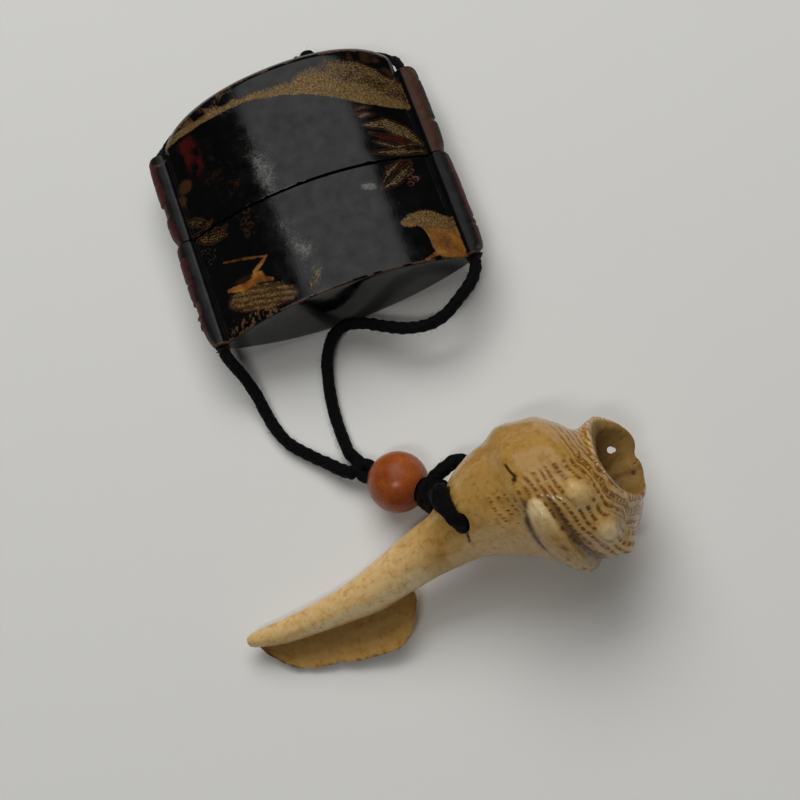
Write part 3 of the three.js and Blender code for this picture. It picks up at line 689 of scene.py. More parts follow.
def lacquerFinish():
    # Black urushi lacquer over wood, rubbed to a gloss: wet highlights broken by fine scratches, with
    # sprinkled gold powder set in it, thin enough on the edges for red and brown under-coats to show.
    # its colour also holds painted light: a highlight along the long corners and a glow at the sheen's edge
    material, tree, shader = newMaterial("rubbedUrushiLacquer")
    add = partial(addNode, tree)
    at = add("ShaderNodeTexCoord").outputs["Object"]
    value = {name: add("ShaderNodeAttribute", {"attribute_name": name}).outputs["Fac"]
             for name in ("powder", "bright", "red", "pale", "brown", "wear", "dull", "scuff")}
    # 0.4 mm powder, 3 mm rubbing and 17 mm clouds
    grain, patch, cloud = (add("ShaderNodeTexNoise", {}, {"Vector": at, "Scale": scale, "Detail": detail})
                           for scale, detail in ((2600, 1), (330, 4), (60, 5)))

    def sown(name, spread, start, stop):      # an attribute broken up by the powder's grain
        grains = add("ShaderNodeMath", {"operation": "MULTIPLY_ADD"}, {0: grain, 1: spread, 2: value[name]})
        rubbed = add("ShaderNodeMath", {"operation": "MULTIPLY_ADD"}, {0: patch, 1: 0.5, 2: grains})
        return add("ShaderNodeMapRange", {"interpolation_type": "SMOOTHSTEP"}, {
            0: rubbed, 1: start, 2: stop})
    gold, amber = sown("powder", 0.6, 0.72, 1.3), sown("bright", 0.6, 0.72, 1.4)
    worn = sown("wear", 0.9, 1.0, 1.5)
    # powder gold glints light and dark from grain to grain, and is browner where it is rubbed thin
    black, glint, ember = (setRamp(add("ShaderNodeValToRGB", {}, {0: by}), stops) for by, stops in (
        (cloud, [(0.35, "#030303"), (0.7, "#080706")]),
        (grain, [(0.34, "#4E3B1D"), (0.5, "#6A522B"), (0.66, "#8A6F42")]),
        (patch, [(0.32, "#4A2A0C"), (0.5, "#8A5216"), (0.68, "#A87028")])))
    colour = black
    for amount, tone in ((sown("brown", 0.6, 0.65, 1.5), "#3A2412"), (sown("red", 0.7, 0.75, 1.5), "#3E0F0A"),
                         (worn, "#553A22"), (gold, glint), (amber, ember),
                         # pale strokes and patches, and the painted highlight along the long corners
                         (sown("pale", 0.7, 0.86, 1.7), "#7E786C"),
                         # the painted glow at the sheen's edge
                         (sown("scuff", 1.1, 1.0, 2.25), "#6E6D67")):
        colour = add("ShaderNodeMix", {"data_type": "RGBA"}, {0: amount, 6: colour, 7: tone}).outputs[2]
    metal = add("ShaderNodeMath", {"operation": "MAXIMUM"}, {0: gold, 1: amber})
    raised = add("ShaderNodeMath", {"operation": "MAXIMUM"}, {0: worn, 1: metal})
    polish = add("ShaderNodeMapRange", {}, {0: patch, 1: 0.3, 2: 0.7, 3: 0.1, 4: 0.2})
    glossy = add("ShaderNodeMix", {}, {0: raised, 2: polish, 3: 0.5})
    scratchAt = add("ShaderNodeMapping", {}, {
        "Vector": at, "Scale": (2600, 420, 900), "Rotation": (0, 0, 0.5)})
    scratch = add("ShaderNodeTexNoise", {}, {"Vector": scratchAt, "Scale": 1.0, "Detail": 2})
    pits = add("ShaderNodeMath", {"operation": "MULTIPLY_ADD"}, {0: grain, 1: 0.5, 2: scratch})
    fine = add("ShaderNodeBump", {}, {"Strength": 0.14, "Distance": 0.05 * mm, "Height": pits})
    setInputs(tree, shader, {
        "Base Color": colour,
        "Metallic": add("ShaderNodeMath", {"operation": "MULTIPLY"}, {0: metal, 1: 0.3}),
        "Roughness": add("ShaderNodeMix", {}, {0: value["dull"], 2: glossy, 3: 0.62}),
        "Specular IOR Level": add("ShaderNodeMapRange", {}, {0: patch, 1: 0.32, 2: 0.68, 3: 0.37, 4: 0.55}),
        "Normal": add("ShaderNodeBump", {}, {
            "Strength": 0.6, "Distance": 0.07 * mm, "Height": raised, "Normal": fine})})
    return material


lacquer = lacquerFinish()
for caseHalf, node in zip(makeCaseHalves(), ("inro_body", "inro_lid")):
    paintCase(caseHalf, node == "inro_lid")
    place(caseHalf, lacquer, 40, "lacquer", node)

# The shell, in mm, in its own frame: v runs up its axis, u across, w towards its front.
shellSet = {
    "at": (23, -93, 17.4), "yaw": 4.0, "tilt": 11.5, "roll": 22.2,
    "sides": 320, "foot": -66.4, "neckStep": 0.9, "bodyFrom": -20, "bodyStep": 0.28, "crownFrom": 4.2,
    "shoulder": 8.6, "drop": 12, "nodule": 1.6, "noduleTurn": 36, "firstNodule": 88, "smoothFrom": 102,
    "rowPitch": 1.5, "rowLean": 0.045, "rowRelief": 0.06, "threads": 1.7,      # fine threads for each row
    "leafThick": 1.0, "holeRadius": 1.85,
    "wornHole": ((0.72, -0.15, -0.15), (0.5, 0.1, 0.35)),      # radius, across, along
}
neckRows = [      # v, how far the tube's centre is off the axis, its radius
    [-66.4, 0.5, 1], [-65.2, 0.6, 1.6], [-60, 1.6, 2.4], [-53, 2.3, 2.9], [-44, 2.7, 3.7], [-39, 2.5, 4.4],
    [-34, 1.8, 4.8], [-27, 0.7, 5.4], [-21.6, 0.2, 6], [-16.3, -1.2, 7.9], [-13.2, -1.7, 9.5],
    [-8.7, -1.3, 11.6], [-4, -0.4, 13.3], [0, 1.1, 15.1], [4, 1.9, 15.9], [10, 2.1, 16], [14, 1.4, 16],
    [20, 0.9, 16],
]
whorlRows = [      # height over the shoulder, radius
    [-16, 15.2], [-11, 15.9], [-6, 16], [-2, 15.7], [0, 15.2], [1.6, 14.1],
    [3.6, 12.2], [5.2, 10], [6.4, 9.1], [9, 9.3], [16, 9.6],
]
lipRows = [      # angle, lower edge, upper edge, depth
    [-110, 3, 6, 0], [-60, 2, 6, 0.2], [-25, 0.8, 4.4, 0.4], [0, -0.2, 4, 0.9], [25, -1.3, 3.6, 1.7],
    [41, -2.4, 2.9, 2], [51, -3, 2.5, 2], [65, -3.1, 2.2, 1.6], [78, -2.7, 1.9, 1.2], [91, -1.6, 1.4, 0.7],
    [98, 0, 0.2, 0],
]
leafRows = [      # v, reach in u, height of its edge
    [-65.4, 2.2, -0.6], [-63.5, 5.6, -0.6], [-60.5, 9.2, -0.6], [-57.5, 10.9, -0.6], [-52, 12.6, -0.5],
    [-47, 14.1, -0.3], [-41, 15.1, 0], [-38.4, 15, 0], [-35.4, 12.9, -0.3], [-32.4, 8.8, -1.2],
]
rimRows = [      # the broken rim of the spire: angle, height up the axis, thickness of its wall
    [0, 17.6, 1.3], [45, 15.3, 1.5], [90, 13.8, 2.2], [120, 13.7, 3.5], [165, 15, 3.2], [200, 16.5, 3],
    [228, 18.4, 2.4], [255, 20, 1.4], [270, 20, 1.2], [284, 18.9, 1.2], [298, 19.3, 1.2], [322, 18.8, 1.2],
    [360, 17.6, 1.3],
]
wallRows = [      # over the rim and down inside: how far down, share of the wall's thickness, what is added
    (0.1, 0.15, 0), (0.18, 0.45, 0), (0.12, 0.8, 0), (-0.15, 1, 0), (-0.8, 1, 0.2), (-1.8, 1, 0.4),
    (-2.8, 1, 0.65), (-4, 1, 0.95), (-5.5, 1, 1.6), (-7, 1, 2.4), (-8, 1, 3),
]


def shellAxes():
    yaw, tilt, roll = (math.radians(shellSet[k]) for k in ("yaw", "tilt", "roll"))
    v = np.array([math.cos(tilt) * math.cos(yaw), math.cos(tilt) * math.sin(yaw), math.sin(tilt)])
    level = np.cross(v, [0, 0, 1])
    level = level / np.linalg.norm(level)
    upright = np.cross(level, v)
    return (level * math.cos(roll) - upright * math.sin(roll), v,
            level * math.sin(roll) + upright * math.cos(roll))


axisU, axisV, axisW = shellAxes()


def shellPoint(u, v, w):
    u, v, w = np.broadcast_arrays(u, v, w)
    return np.array(shellSet["at"]) + u[..., None] * axisU + v[..., None] * axisV + w[..., None] * axisW


def seamAngle(angle):      # from -90 to 270, so that both ends of the whorl meet half way at the back
    return (angle + 90) % 360 - 90


def shoulderAt(angle):      # the whorl climbs as it goes round
    seam = seamAngle(angle)
    older = shellSet["shoulder"] - shellSet["drop"] * (seam - 90) / 360
    return older - shellSet["drop"] * (smooth(50, 90, -seam) - smooth(230, 270, seam)) / 2


def lipShape(angle):      # its lower and upper edges, how deep it is, and the angle from -110 to 250
    side = (angle + 110) % 360 - 110
    lower, upper, depth = (track(lipRows, side, column) for column in (1, 2, 3))
    return lower, upper, np.where(side > lipRows[-1][0], 0, depth), side


def knobs(angle, height):      # the row of blunt knobs on the shoulder, worn smooth on the upper left
    s = shellSet
    knob = np.cos((angle - s["firstNodule"]) / s["noduleTurn"] * fullTurn) * 0.5 + 0.5
    around = knob + (0.15 - knob) * smooth(s["smoothFrom"], s["smoothFrom"] + 20, angle)
    return around * hump(height, -0.4, 2.5)


def rowPlace(angle, v):      # which of the spiral rows a place lies on
    seam = seamAngle(angle)
    waver = 0.8 * (mottle(seam * 0.28, v, 2.6, 73) - 0.5) - 1.1 * knobs(angle, v - shoulderAt(angle) - 1.2)
    return (v + shellSet["rowLean"] * (seam - 90) + waver) / shellSet["rowPitch"]


def rowsShare(angle, v):      # where the spiral rows show: all round but for the smooth upper left
    seam = seamAngle(angle)
    smoothSide = smooth(112, 124, seam) * smooth(230, 205, seam) * smooth(-5, -2, v)
    return (1 - smoothSide) * smooth(-90, -80, seam) * smooth(270, 262, seam)


def shellRadius(angle, v, fine=True):
    s = shellSet
    height = v - shoulderAt(angle)
    neck = track(neckRows, v, 2)
    lower, upper, depth = lipShape(angle)[:3]
    whorl = track(whorlRows, height) + s["nodule"] * knobs(angle, height)
    radius = neck + (whorl - neck) * smooth(-6, 1, v)
    onLip = smooth(lower - 0.35, lower + 0.5, v) * smooth(upper + 0.4, upper - 0.7, v)
    radius = radius + np.maximum(track(neckRows, np.minimum(v, 2), 2) + depth - radius, 0) * onLip
    if not fine:
        return radius
    crest = np.clip((v - lower) / np.maximum(upper - lower, 0.4), 0, 1)
    radius = radius + 0.45 * np.sin(crest * np.pi) * smooth(0, 0.8, depth) * (depth > 0)
    radius = radius - 0.45 * hump(v, upper + 0.9, 0.5) * smooth(0.2, 1.2, depth)
    radius = radius - 0.3 * hump(v, lower - 0.45, 0.28) * smooth(0.2, 1.0, depth)
    rows = rowPlace(angle, v)
    ribbed = rowsShare(angle, v) * smooth(-12, -7, v) * smooth(125, 105, angle)
    radius = radius + s["rowRelief"] * np.cos(rows * fullTurn) * ribbed
    ramp = smooth(1.2, 2.4, height) * smooth(6.0, 5.0, height)
    radius = radius + 0.07 * np.cos(rows * s["threads"] * fullTurn) * ramp
    uneven = mottle(angle * 0.17, v, 2.4, 71) * 0.7 + mottle(angle * 0.17, v, 0.9, 72) * 0.3
    return radius - 0.16 * uneven * smooth(-30, -10, v) - 0.1 * uneven


def cutHeight(angle, jagged=True):      # where the spire is broken off, and its chips
    height = track(rimRows, angle, 1)
    if jagged:
        height = height - 0.3 * smooth(0.3, 0.9, mottle(angle * 0.06, 0 * angle, 1.6, 74))
        height = height - 0.1 * mottle(angle * 0.3, 0 * angle, 1.0, 75)
    return height


def shellLoft():
    s = shellSet
    angle = np.arange(s["sides"]) / s["sides"] * 360
    turn = np.radians(angle)
    cut, plain = cutHeight(angle), cutHeight(angle, False)
    crown = int(12 / s["bodyStep"])
    places = list(np.arange(s["foot"], s["bodyFrom"], s["neckStep"]))
    places += list(np.arange(s["bodyFrom"], s["crownFrom"], s["bodyStep"]))
    places += [s["crownFrom"] + (cut - s["crownFrom"]) * (i / crown) for i in range(crown + 1)]
    places = [np.broadcast_to(v, angle.shape) for v in places]
    skin = [(v, shellRadius(angle, v)) for v in places]
    # over the broken rim, then down inside, the wall thickening to a solid floor
    rim = shellRadius(angle, cut)
    thick = track(rimRows, angle, 2) * (1 + 0.15 * (mottle(angle * 0.05, 0 * angle, 1.4, 77) - 0.5))
    skin += [(plain + (cut - plain) * smooth(-3, 0, down) + down, rim - thick * share - more)
             for down, share, more in wallRows]
    rings = [shellPoint(track(neckRows, v, 1) + radius * np.cos(turn), v, radius * np.sin(turn))
             for v, radius in skin]
    tip, floor = shellPoint(0.5, s["foot"] - 0.4, 0), shellPoint(2, rimRows[0][1] - 9.5, 0)
    return loft("shellToggleBody", np.array(rings), [tip, floor])


def leafLoft():      # what is left of the canal's outer wall: a thin curled leaf with a chipped edge
    t = np.linspace(0, 1, 34)
    rings = []
    for v in np.arange(-65, -32.3, 0.3):
        centre, radius = (float(track(neckRows, v, column)) for column in (1, 2))
        chip = 0.45 * smooth(0.5, 0.85, float(mottle(v, 0, 1.3, 81))) + 0.12 * float(mottle(v, 3, 0.5, 82))
        reach, edge = float(track(leafRows, v, 1)) - chip, float(track(leafRows, v, 2))
        root = (centre + radius * 0.2, -radius * 0.55)
        sag = (root[0] + (reach - root[0]) * 0.5, root[1] - 1.6 - radius * 0.35)
        u, w = (a * (1 - t) ** 2 + 2 * b * t * (1 - t) + c * t ** 2
                for a, b, c in zip(root, sag, (reach, edge)))
        thin = shellSet["leafThick"] * (1 - 0.45 * t)
        w = w + 0.06 * np.cos(t * 26) * smooth(0.2, 0.5, t)
        nose = shellPoint(u[-1] + 0.2 * thin[-1], v, w[-1] - thin[-1] * 0.45)
        under = shellPoint(u + thin * 0.3 * t, v, w - thin)
        rings.append(np.vstack([shellPoint(u, v, w), nose, under[::-1]]))
    rings = np.array(rings)
    return loft("leaf", rings, [rings[0].mean(0), rings[-1].mean(0)])


loopRoute = ([[4.9, -88.6, 11.4], [5.1, -90.7, 13.7]]      # over the shell's shoulder, through it and back
             + [shellPoint(*p).tolist() for p in (
                 (-9.2, -16.6, 5.2), (-6.6, -16.5, 8.3), (-3.7, -16.2, 9.7), (-1.7, -15.6, 8.2),
                 (-1.2, -15.2, 4.5), (-1.5, -14.9, 0), (-2.2, -14.7, -4.5), (-3.8, -14.6, -8.2),
                 (-7.2, -14.4, -9.9), (-9.5, -13.4, -10.6), (-11.5, -12.4, -10))]
             + [[9.4, -78.9, 10.6], [7.0, -79.6, 10.5]])


def makeShell():
    ob = shellLoft()
    carve(ob, leafLoft(), "UNION")
    carve(ob, tubeTool(smoothRoute(loopRoute, 0.5), shellSet["holeRadius"], 32), "DIFFERENCE")
    for radius, across, along in shellSet["wornHole"]:      # worn through the thin back of the spire
        hole = [shellPoint(across - 0.2, along + 15.6, -3.5), shellPoint(across + 0.5, along + 15.1, -14)]
        carve(ob, tubeTool(hole, radius, 40), "DIFFERENCE")
    return ob


def paintShell(ob):
    p, n = read(ob) / mm - np.array(shellSet["at"]), read(ob, "normal")
    u, v, w = p @ axisU, p @ axisV, p @ axisW
    centre = track(neckRows, v, 1)
    angle, radius = np.degrees(np.arctan2(w, u - centre)) % 360, np.hypot(u - centre, w)
    seam, height, front = seamAngle(angle), v - shoulderAt(angle), w > 0
    lower, upper, depth, side = lipShape(angle)
    outside = 1 - smooth(0.75, 1.0, shellRadius(angle, v, False) - radius) * smooth(4, 7, v)
    hollow = 1 - outside
    onLeaf = smooth(0.6, 1.2, radius - track(neckRows, v, 2)) * (v < -31.8)
    leafEdge = track(leafRows, np.clip(v, -65.4, -32.4), 1) - u
    rimEdge = onLeaf * smooth(0.5, 0.1, leafEdge)
    onLip = smooth(lower - 0.2, lower + 0.3, v) * smooth(upper + 0.1, upper - 0.6, v)
    onLip = onLip * smooth(0.1, 0.7, depth)
    freshLip = smooth(58, 88, side)      # pale where the lip's end was cut, tan along the rest
    knob = knobs(angle, height) * smooth(112, 100, angle) * smooth(20, 40, angle)
    crown = smooth(1.4, 2.6, height)
    # the brown rows of dashes, and the finer threads above the shoulder
    inkOn = most(smooth(-3.5, 0.5, v) * smooth(122, 110, seam)
                 + 0.8 * smooth(-10, -8, v) * smooth(-1, -3, v) * (
                     smooth(60, 80, seam) * smooth(112, 99, seam)),
                 0.8 * smooth(225, 245, seam) * smooth(-6, 0, v), crown)
    ink = np.clip(rowsShare(angle, v) * (1 - onLip) * outside * (1 - onLeaf) * inkOn * outside, 0, 1)
    # darkened in the cracks and pits and the leaf's chips; painted shade in the groove under the lip, in a
    # band along its upper side and in the hollow
    grooveShade = smooth(0.15, 0.8, depth) * smooth(0.0, 0.3, mottle(angle * 0.2, v, 0.9, 78))
    pitted = smooth(66, 50, side) * smooth(0.68, 0.85, mottle(angle * 0.25, v, 0.8, 79))
    cracks = [smooth(wide * 0.5 + 0.3, wide * 0.5, nearLine(u, v, line)[0]) * front for line, wide in (
        ([(-8.1, -2.1), (-6.4, -1.7), (-5.4, -1.2), (-4.9, -1.7)], 0.28),
        ([(-0.2, -15.3), (2.1, -15.9)], 0.2))]
    innerCrack = nearLine(angle * 0.16, v, [(46.6, 19.3), (48.0, 17.8), (49.6, 17.2), (51.6, 16.2)])[0]
    # painted shade inside the broken spire: its far wall gets less of the inside colour and more shade
    shaded = smooth(278, 300, angle)
    dark = most(
        # painted shade in the groove under the lip, then real pits and cracks
        hump(v, lower - 0.4, 0.55) * grooveShade, onLip * pitted * 0.7, *cracks,
        smooth(0.75, 0.3, np.hypot(u + 4.9, v + 1.7)) * front,
        # painted shade over the whole hollow, deepest on its far wall
        hollow * smooth(0.25, 0.05, innerCrack), hollow * (0.3 + 0.2 * shaded),
        0.75 * smooth(0.52, 0.62, mottle(v * 1.6, u, 0.9, 83)) * onLeaf * smooth(0.7, 0.15, leafEdge),
        # painted shadow in a band above the lip
        0.72 * hump(v, upper + 1.0, 1.1) * smooth(0.2, 1.2, depth) * outside)
    # pale where it is worn: the canal's tip, the knobs and the broken rim; and painted light on the near
    # flank, which faces away from the lamps
    cream = most(0.85 * smooth(-18, -34, v) * (1 - onLeaf), 0.8 * smooth(0.15, 0.9, knob),
                 0.8 * smooth(0.9, 0.1, cutHeight(angle, False) - v) * outside * (v > 8),
                 0.55 * smooth(0.25, 0.85, -n[:, 1]) * (v > -22) * outside)
    band = smooth(-58, -50, v) * smooth(-24, -30, v) * smooth(12, 34, angle) * smooth(88, 62, angle)
    giveValues(
        ob, dark=dark, cream=cream * (1 - onLip * (1 - freshLip)), tan=onLip * (1 - freshLip),
        ivory=most(onLip * (0.12 + 0.88 * freshLip),
                   band * (1 - onLeaf) * (0.6 + 0.4 * mottle(u, v, 1.6, 84)),
                   # a painted highlight on the knobs
                   0.7 * smooth(0.5, 0.95, knob) * (side < 60)),
        ink=ink * (1 - 0.9 * smooth(0.3, 0.6, knob)),
        thread=crown * outside * smooth(-80, -60, seam) * smooth(265, 255, seam),
        # the inside colour of the leaf, and of the hollow, held back by painted shade on its far wall and
        # near one end
        inner=most(onLeaf * (n @ axisW > 0.0) * (1 - rimEdge),
                   hollow * (1 - 0.55 * shaded) * (1 - 0.3 * smooth(40, 10, angle))),
        rim=rimEdge * (n @ axisW > -0.3), stain=dab(u, v, (-0.9, -60.4), (0.5, 1.0), 0, 0.5) * front * 0.5,
        smoothSide=smooth(95, 120, seam) * smooth(230, 200, seam) * smooth(-16, -8, v))
    rows = ob.data.attributes.new("rows", "FLOAT_VECTOR", "POINT")
    vectors = np.stack([seam * 0.28, rowPlace(angle, v), 0 * v], -1)      # mm round the whorl, then the row
    rows.data.foreach_set("vector", vectors.astype(np.float32).ravel())


def shellFinish():
    # Old sea shell, handled smooth: glossy as glazed china on the crowns, duller where it is bare and chalky,
    # tan with brown rows of dashes, ivory where it is worn or freshly cut. Painted light on the knobs and the
    # near flank, and painted shade beside the lip and in the hollow, are in its colour too.
    material, tree, shader = newMaterial("polishedSeaShell")
    add = partial(addNode, tree)
    at = add("ShaderNodeTexCoord").outputs["Object"]
    value = {name: add("ShaderNodeAttribute", {"attribute_name": name}).outputs["Fac"]
             for name in ("ivory", "ink", "thread", "dark", "cream", "inner", "rim", "tan", "stain",
                          "smoothSide")}
    rows = add("ShaderNodeAttribute", {"attribute_name": "rows"}).outputs["Vector"]
    along, row = add("ShaderNodeSeparateXYZ", {}, {0: rows}).outputs[:2]
    # 8 mm clouds, 1 mm pores and 1.8 mm blotches
    cloud, speck, blotch = (add("ShaderNodeTexNoise", {}, {
        "Vector": at, "Scale": scale, "Detail": detail, "Roughness": roughness})
        for scale, detail, roughness in ((130, 4, 0.5), (1100, 3, 0.5), (560, 5, 0.7)))
    base = setRamp(add("ShaderNodeValToRGB", {}, {0: cloud}),
                   [(0.3, "#A8823E"), (0.5, "#BA9450"), (0.7, "#CCAA6A")])
    grime = setRamp(add("ShaderNodeValToRGB", {}, {0: blotch}),
                    [(0.34, "#E6D0AC"), (0.46, "#F8F1E6"), (0.58, "#FFFFFF")])

    def waves(turns):      # up and down across the rows, so many times for each
        across = add("ShaderNodeMath", {"operation": "MULTIPLY"}, {0: row, 1: turns * fullTurn})
        return add("ShaderNodeMath", {"operation": "COSINE"}, {0: across})

    def patched(by, share, plus, start, stop):      # where a pattern's share and another add up
        both = add("ShaderNodeMath", {"operation": "MULTIPLY_ADD"}, {0: by, 1: share, 2: plus})
        return add("ShaderNodeMapRange", {"interpolation_type": "SMOOTHSTEP"}, {0: both, 1: start, 2: stop})
    rowOf = add("ShaderNodeMath", {"operation": "ROUND"}, {0: row})
    dashAt = add("ShaderNodeCombineXYZ", {}, {
        0: add("ShaderNodeMath", {"operation": "MULTIPLY"}, {0: along, 1: 1.5}),
        1: add("ShaderNodeMath", {"operation": "MULTIPLY"}, {0: rowOf, 1: 5.37})})
    dash = add("ShaderNodeTexNoise", {}, {"Vector": dashAt, "Scale": 1.0, "Detail": 1})
    patchy = add("ShaderNodeMath", {"operation": "MULTIPLY_ADD"}, {0: speck, 1: 0.45, 2: dash})
    ridge = add("ShaderNodeMapRange", {"interpolation_type": "SMOOTHSTEP"}, {0: waves(1), 1: -0.6, 2: 0.9})
    inked, threads = (add("ShaderNodeMath", {"operation": "MULTIPLY"}, {0: a, 1: b}) for a, b in (
        (patched(value["ink"], 0.4, patchy, 0.95, 1.2), ridge),
        (patched(speck, 3.0, waves(shellSet["threads"]), 1.6, 2.7), value["thread"])))
    allInk = add("ShaderNodeMath", {"operation": "MAXIMUM"}, {0: inked, 1: threads})
    colour = base
    for amount, tone in ((value["smoothSide"], "#B28A48"), (value["cream"], "#E0BE84"),
                         (value["ivory"], "#EAD4A4"), (value["tan"], "#BE9C64"), (allInk, "#7E5018"),
                         (value["inner"], "#A6844C"), (value["rim"], "#8A6C38"),
                         # the last tone is both cracks and pits and painted shade
                         (value["stain"], "#9A5228"), (value["dark"], "#3C2208")):
        colour = add("ShaderNodeMix", {"data_type": "RGBA"}, {0: amount, 6: colour, 7: tone}).outputs[2]
    spots = add("ShaderNodeMapRange", {}, {0: speck, 1: 0.3, 2: 0.4, 3: 0.8, 4: 1.0})
    for tone in (spots, grime):
        colour = add("ShaderNodeMix", {"data_type": "RGBA", "blend_type": "MULTIPLY"}, {
            0: 1.0, 6: colour, 7: tone}).outputs[2]
    rough = add("ShaderNodeMapRange", {}, {0: cloud, 1: 0.3, 2: 0.7, 3: 0.3, 4: 0.48})
    setInputs(tree, shader, {
        "Base Color": colour,
        "Roughness": add("ShaderNodeMix", {}, {0: value["inner"], 2: rough, 3: 0.6}),
        "Normal": add("ShaderNodeBump", {}, {"Strength": 0.25, "Distance": 0.12 * mm, "Height": speck}),
        "Coat Roughness": 0.1, "Subsurface Weight": 0.08, "Subsurface Scale": 1.0,
        "Subsurface Radius": (0.0012, 0.0007, 0.0003)})
    # the glaze is only on the outside
    for socket, bare, glazed in (("Specular IOR Level", 0.1, 0.2), ("Coat Weight", 0.0, 0.6)):
        share = add("ShaderNodeMapRange", {}, {0: value["inner"], 1: 0.0, 2: 0.5, 3: glazed, 4: bare})
        setInputs(tree, shader, {socket: share})
    return material


shell = makeShell()
paintShell(shell)
place(shell, shellFinish(), 50, "shell", "shell_toggle")

# The drilled bead, in mm, with a bore wide enough for two strands.
beadSet = {"axis": (0.68, -0.68, 0.27), "height": 6.3, "bore": 2.65, "around": 128, "up": 96, "lip": 0.35}
beadLow, beadHigh = (np.array(c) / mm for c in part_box("bead"))
beadAt = np.append((beadLow[:2] + beadHigh[:2]) / 2, beadSet["height"])
beadAxis = np.array(beadSet["axis"]) / math.hypot(*beadSet["axis"])


def makeBead():
    radius, bore, lip = (beadHigh[0] - beadLow[0]) / 2 * 1.003, beadSet["bore"], beadSet["lip"]
    first = np.cross(beadAxis, [0, 0, 1])
    first /= np.linalg.norm(first)
    second = np.cross(beadAxis, first)
    turn = np.arange(beadSet["around"])[:, None] / beadSet["around"] * fullTurn
    # down the ball's profile, round the worn lips of the bore, and back through it
    tall = math.asin(bore / radius)
    profile = [(radius * math.sin(a), -radius * math.cos(a))
               for a in np.linspace(tall, math.pi - tall, beadSet["up"])]
    end = profile[-1][1]
    profile = [(bore + 0.1, 0.02 - end)] + profile + [(bore + 0.1, end - 0.02)]
    profile += [(bore - 0.04 * math.sin(3 * y), y) for y in np.linspace(end - lip, lip - end, 14)]
    outOfRound = 1 + 0.004 * np.sin(2 * turn + 1)
    rings = np.array([beadAt + beadAxis * y + r * (first * np.cos(turn) + second * np.sin(turn))
                      * (outOfRound if r > bore + 0.2 else 1) for r, y in profile])
    rings[..., 2] = np.maximum(rings[..., 2], 0.06)
    return loft("beadDrilled", rings)


def beadFinish():
    # Polished orange-brown hardstone: an even satin gloss with faint cloudy mottling under it.
    material, tree, shader = newMaterial("polishedHardstone")
    add = partial(addNode, tree)
    at = add("ShaderNodeTexCoord").outputs["Object"]
    cloud, grain = (add("ShaderNodeTexNoise", {}, {"Vector": at, "Scale": scale, "Detail": detail})
                    for scale, detail in ((210, 5), (1500, 3)))      # 5 mm clouds and 0.7 mm grain
    tone = setRamp(add("ShaderNodeValToRGB", {}, {0: cloud}),
                   [(0.3, "#863E16"), (0.55, "#9E5022"), (0.72, "#B0642E")])
    speckled, rough = (add("ShaderNodeMapRange", {}, {0: grain, 1: 0.3, 2: 0.7, 3: least, 4: full})
                       for least, full in ((0.88, 1.06), (0.24, 0.34)))
    mixed = add("ShaderNodeMix", {"data_type": "RGBA", "blend_type": "MULTIPLY"}, {
        0: 1.0, 6: tone, 7: speckled})
    setInputs(tree, shader, {
        "Base Color": mixed.outputs[2], "Roughness": rough, "Specular IOR Level": 0.35,
        "Normal": add("ShaderNodeBump", {}, {"Strength": 0.12, "Distance": 0.05 * mm, "Height": grain})})
    return material


place(makeBead(), beadFinish(), 50, "bead", "bead")

# The rest of the cord, in mm: held by the case, through the bead, knotted, and looped through the shell.
knotX = 9                 # where the end knot sits along the far end
heldDip = 3.2             # how far the cord hangs below mid height there


def overEnd(side, turn, lift):      # a point off the case's round shoulder
    c, power = caseSet, caseSet["shoulderPower"]
    x = side * c["halfWidth"] * math.cos(turn) ** (2 / power)
    y = c["shoulderRise"] * math.sin(turn) ** (2 / power)
    outX = side * (abs(x) / c["halfWidth"]) ** (power - 1) / c["halfWidth"]
    outY = (y / c["shoulderRise"]) ** (power - 1) / c["shoulderRise"]
    off = lift / math.hypot(outX, outY)
    z = midZ - heldDip * float(smooth(0.02, 0.3, turn))
    return [x + off * outX, c["shoulderY"] + y + c["endSlant"] * x + off * outY, z]


def heldRoute(side):      # up the channel, round the shoulder and along the far end to the knot
    c = caseSet
    lift = cordSet["heldDiameter"] / 2 + c["gap"] + 0.12
    route = [[side * c["runnerX"], y, midZ]
             for y in (c["nearY"] + 0.2, c["partY"], c["runnerEndY"] - 3, c["runnerEndY"] + 0.4)]
    last, count = (1.37, 7) if side < 0 else (0.98, 5)
    route += [overEnd(side, 0.16 + (last - 0.16) * i / count, lift) for i in range(count + 1)]
    crossed = ((0, 0), (knotX - 3.4, knotX)) if side < 0 else ((knotX + 3.4, knotX + 3.4),)
    return route + [[x, farEnd(by) + lift, midZ - heldDip] for x, by in crossed]


def alongBead(distance, sideways=0.0, up=0.0):      # a point in the bead's own frame
    across = np.array([-beadAxis[1], beadAxis[0], 0]) / math.hypot(beadAxis[0], beadAxis[1])
    return beadAt + beadAxis * distance + across * sideways + np.cross(beadAxis, across) * up


def knotPath(at, size, along):      # an overhand knot drawn tight, as a three-lobed turn
    t = np.linspace(0.12, fullTurn - 0.12, 160)
    shape = np.stack([np.sin(t) + 2 * np.sin(2 * t), np.cos(t) - 2 * np.cos(2 * t), -np.sin(3 * t) * 1.6], -1)
    x, y, z = (shape * np.array(size) / np.abs(shape).max(0)).T
    turn = math.atan2(along[1], along[0])
    c, s = math.cos(turn), math.sin(turn)
    return (np.array(at) + np.stack([x * c - y * s, x * s + y * c, z], -1))[::8]


def turns(*rows):      # several runs of cord: each is its radius, its seed and its points
    return [braidTube("turn", smoothRoute(points, cordSet["knotStep"]), radius, seed)
            for radius, seed, points in rows]


def joined(obs, name, seed, share):      # several meshes as one, with stray fibres
    points, faces, shift = [], [[], []], 0
    for ob in obs:
        points.append(read(ob) / mm)
        for polygon in ob.data.polygons:
            faces[len(polygon.vertices) - 3].append([v + shift for v in polygon.vertices])
        shift += len(ob.data.vertices)
        bpy.data.objects.remove(ob)
    return addFuzz(meshFrom(name, np.vstack(points), [np.array(f) for f in faces if f]), seed, share)


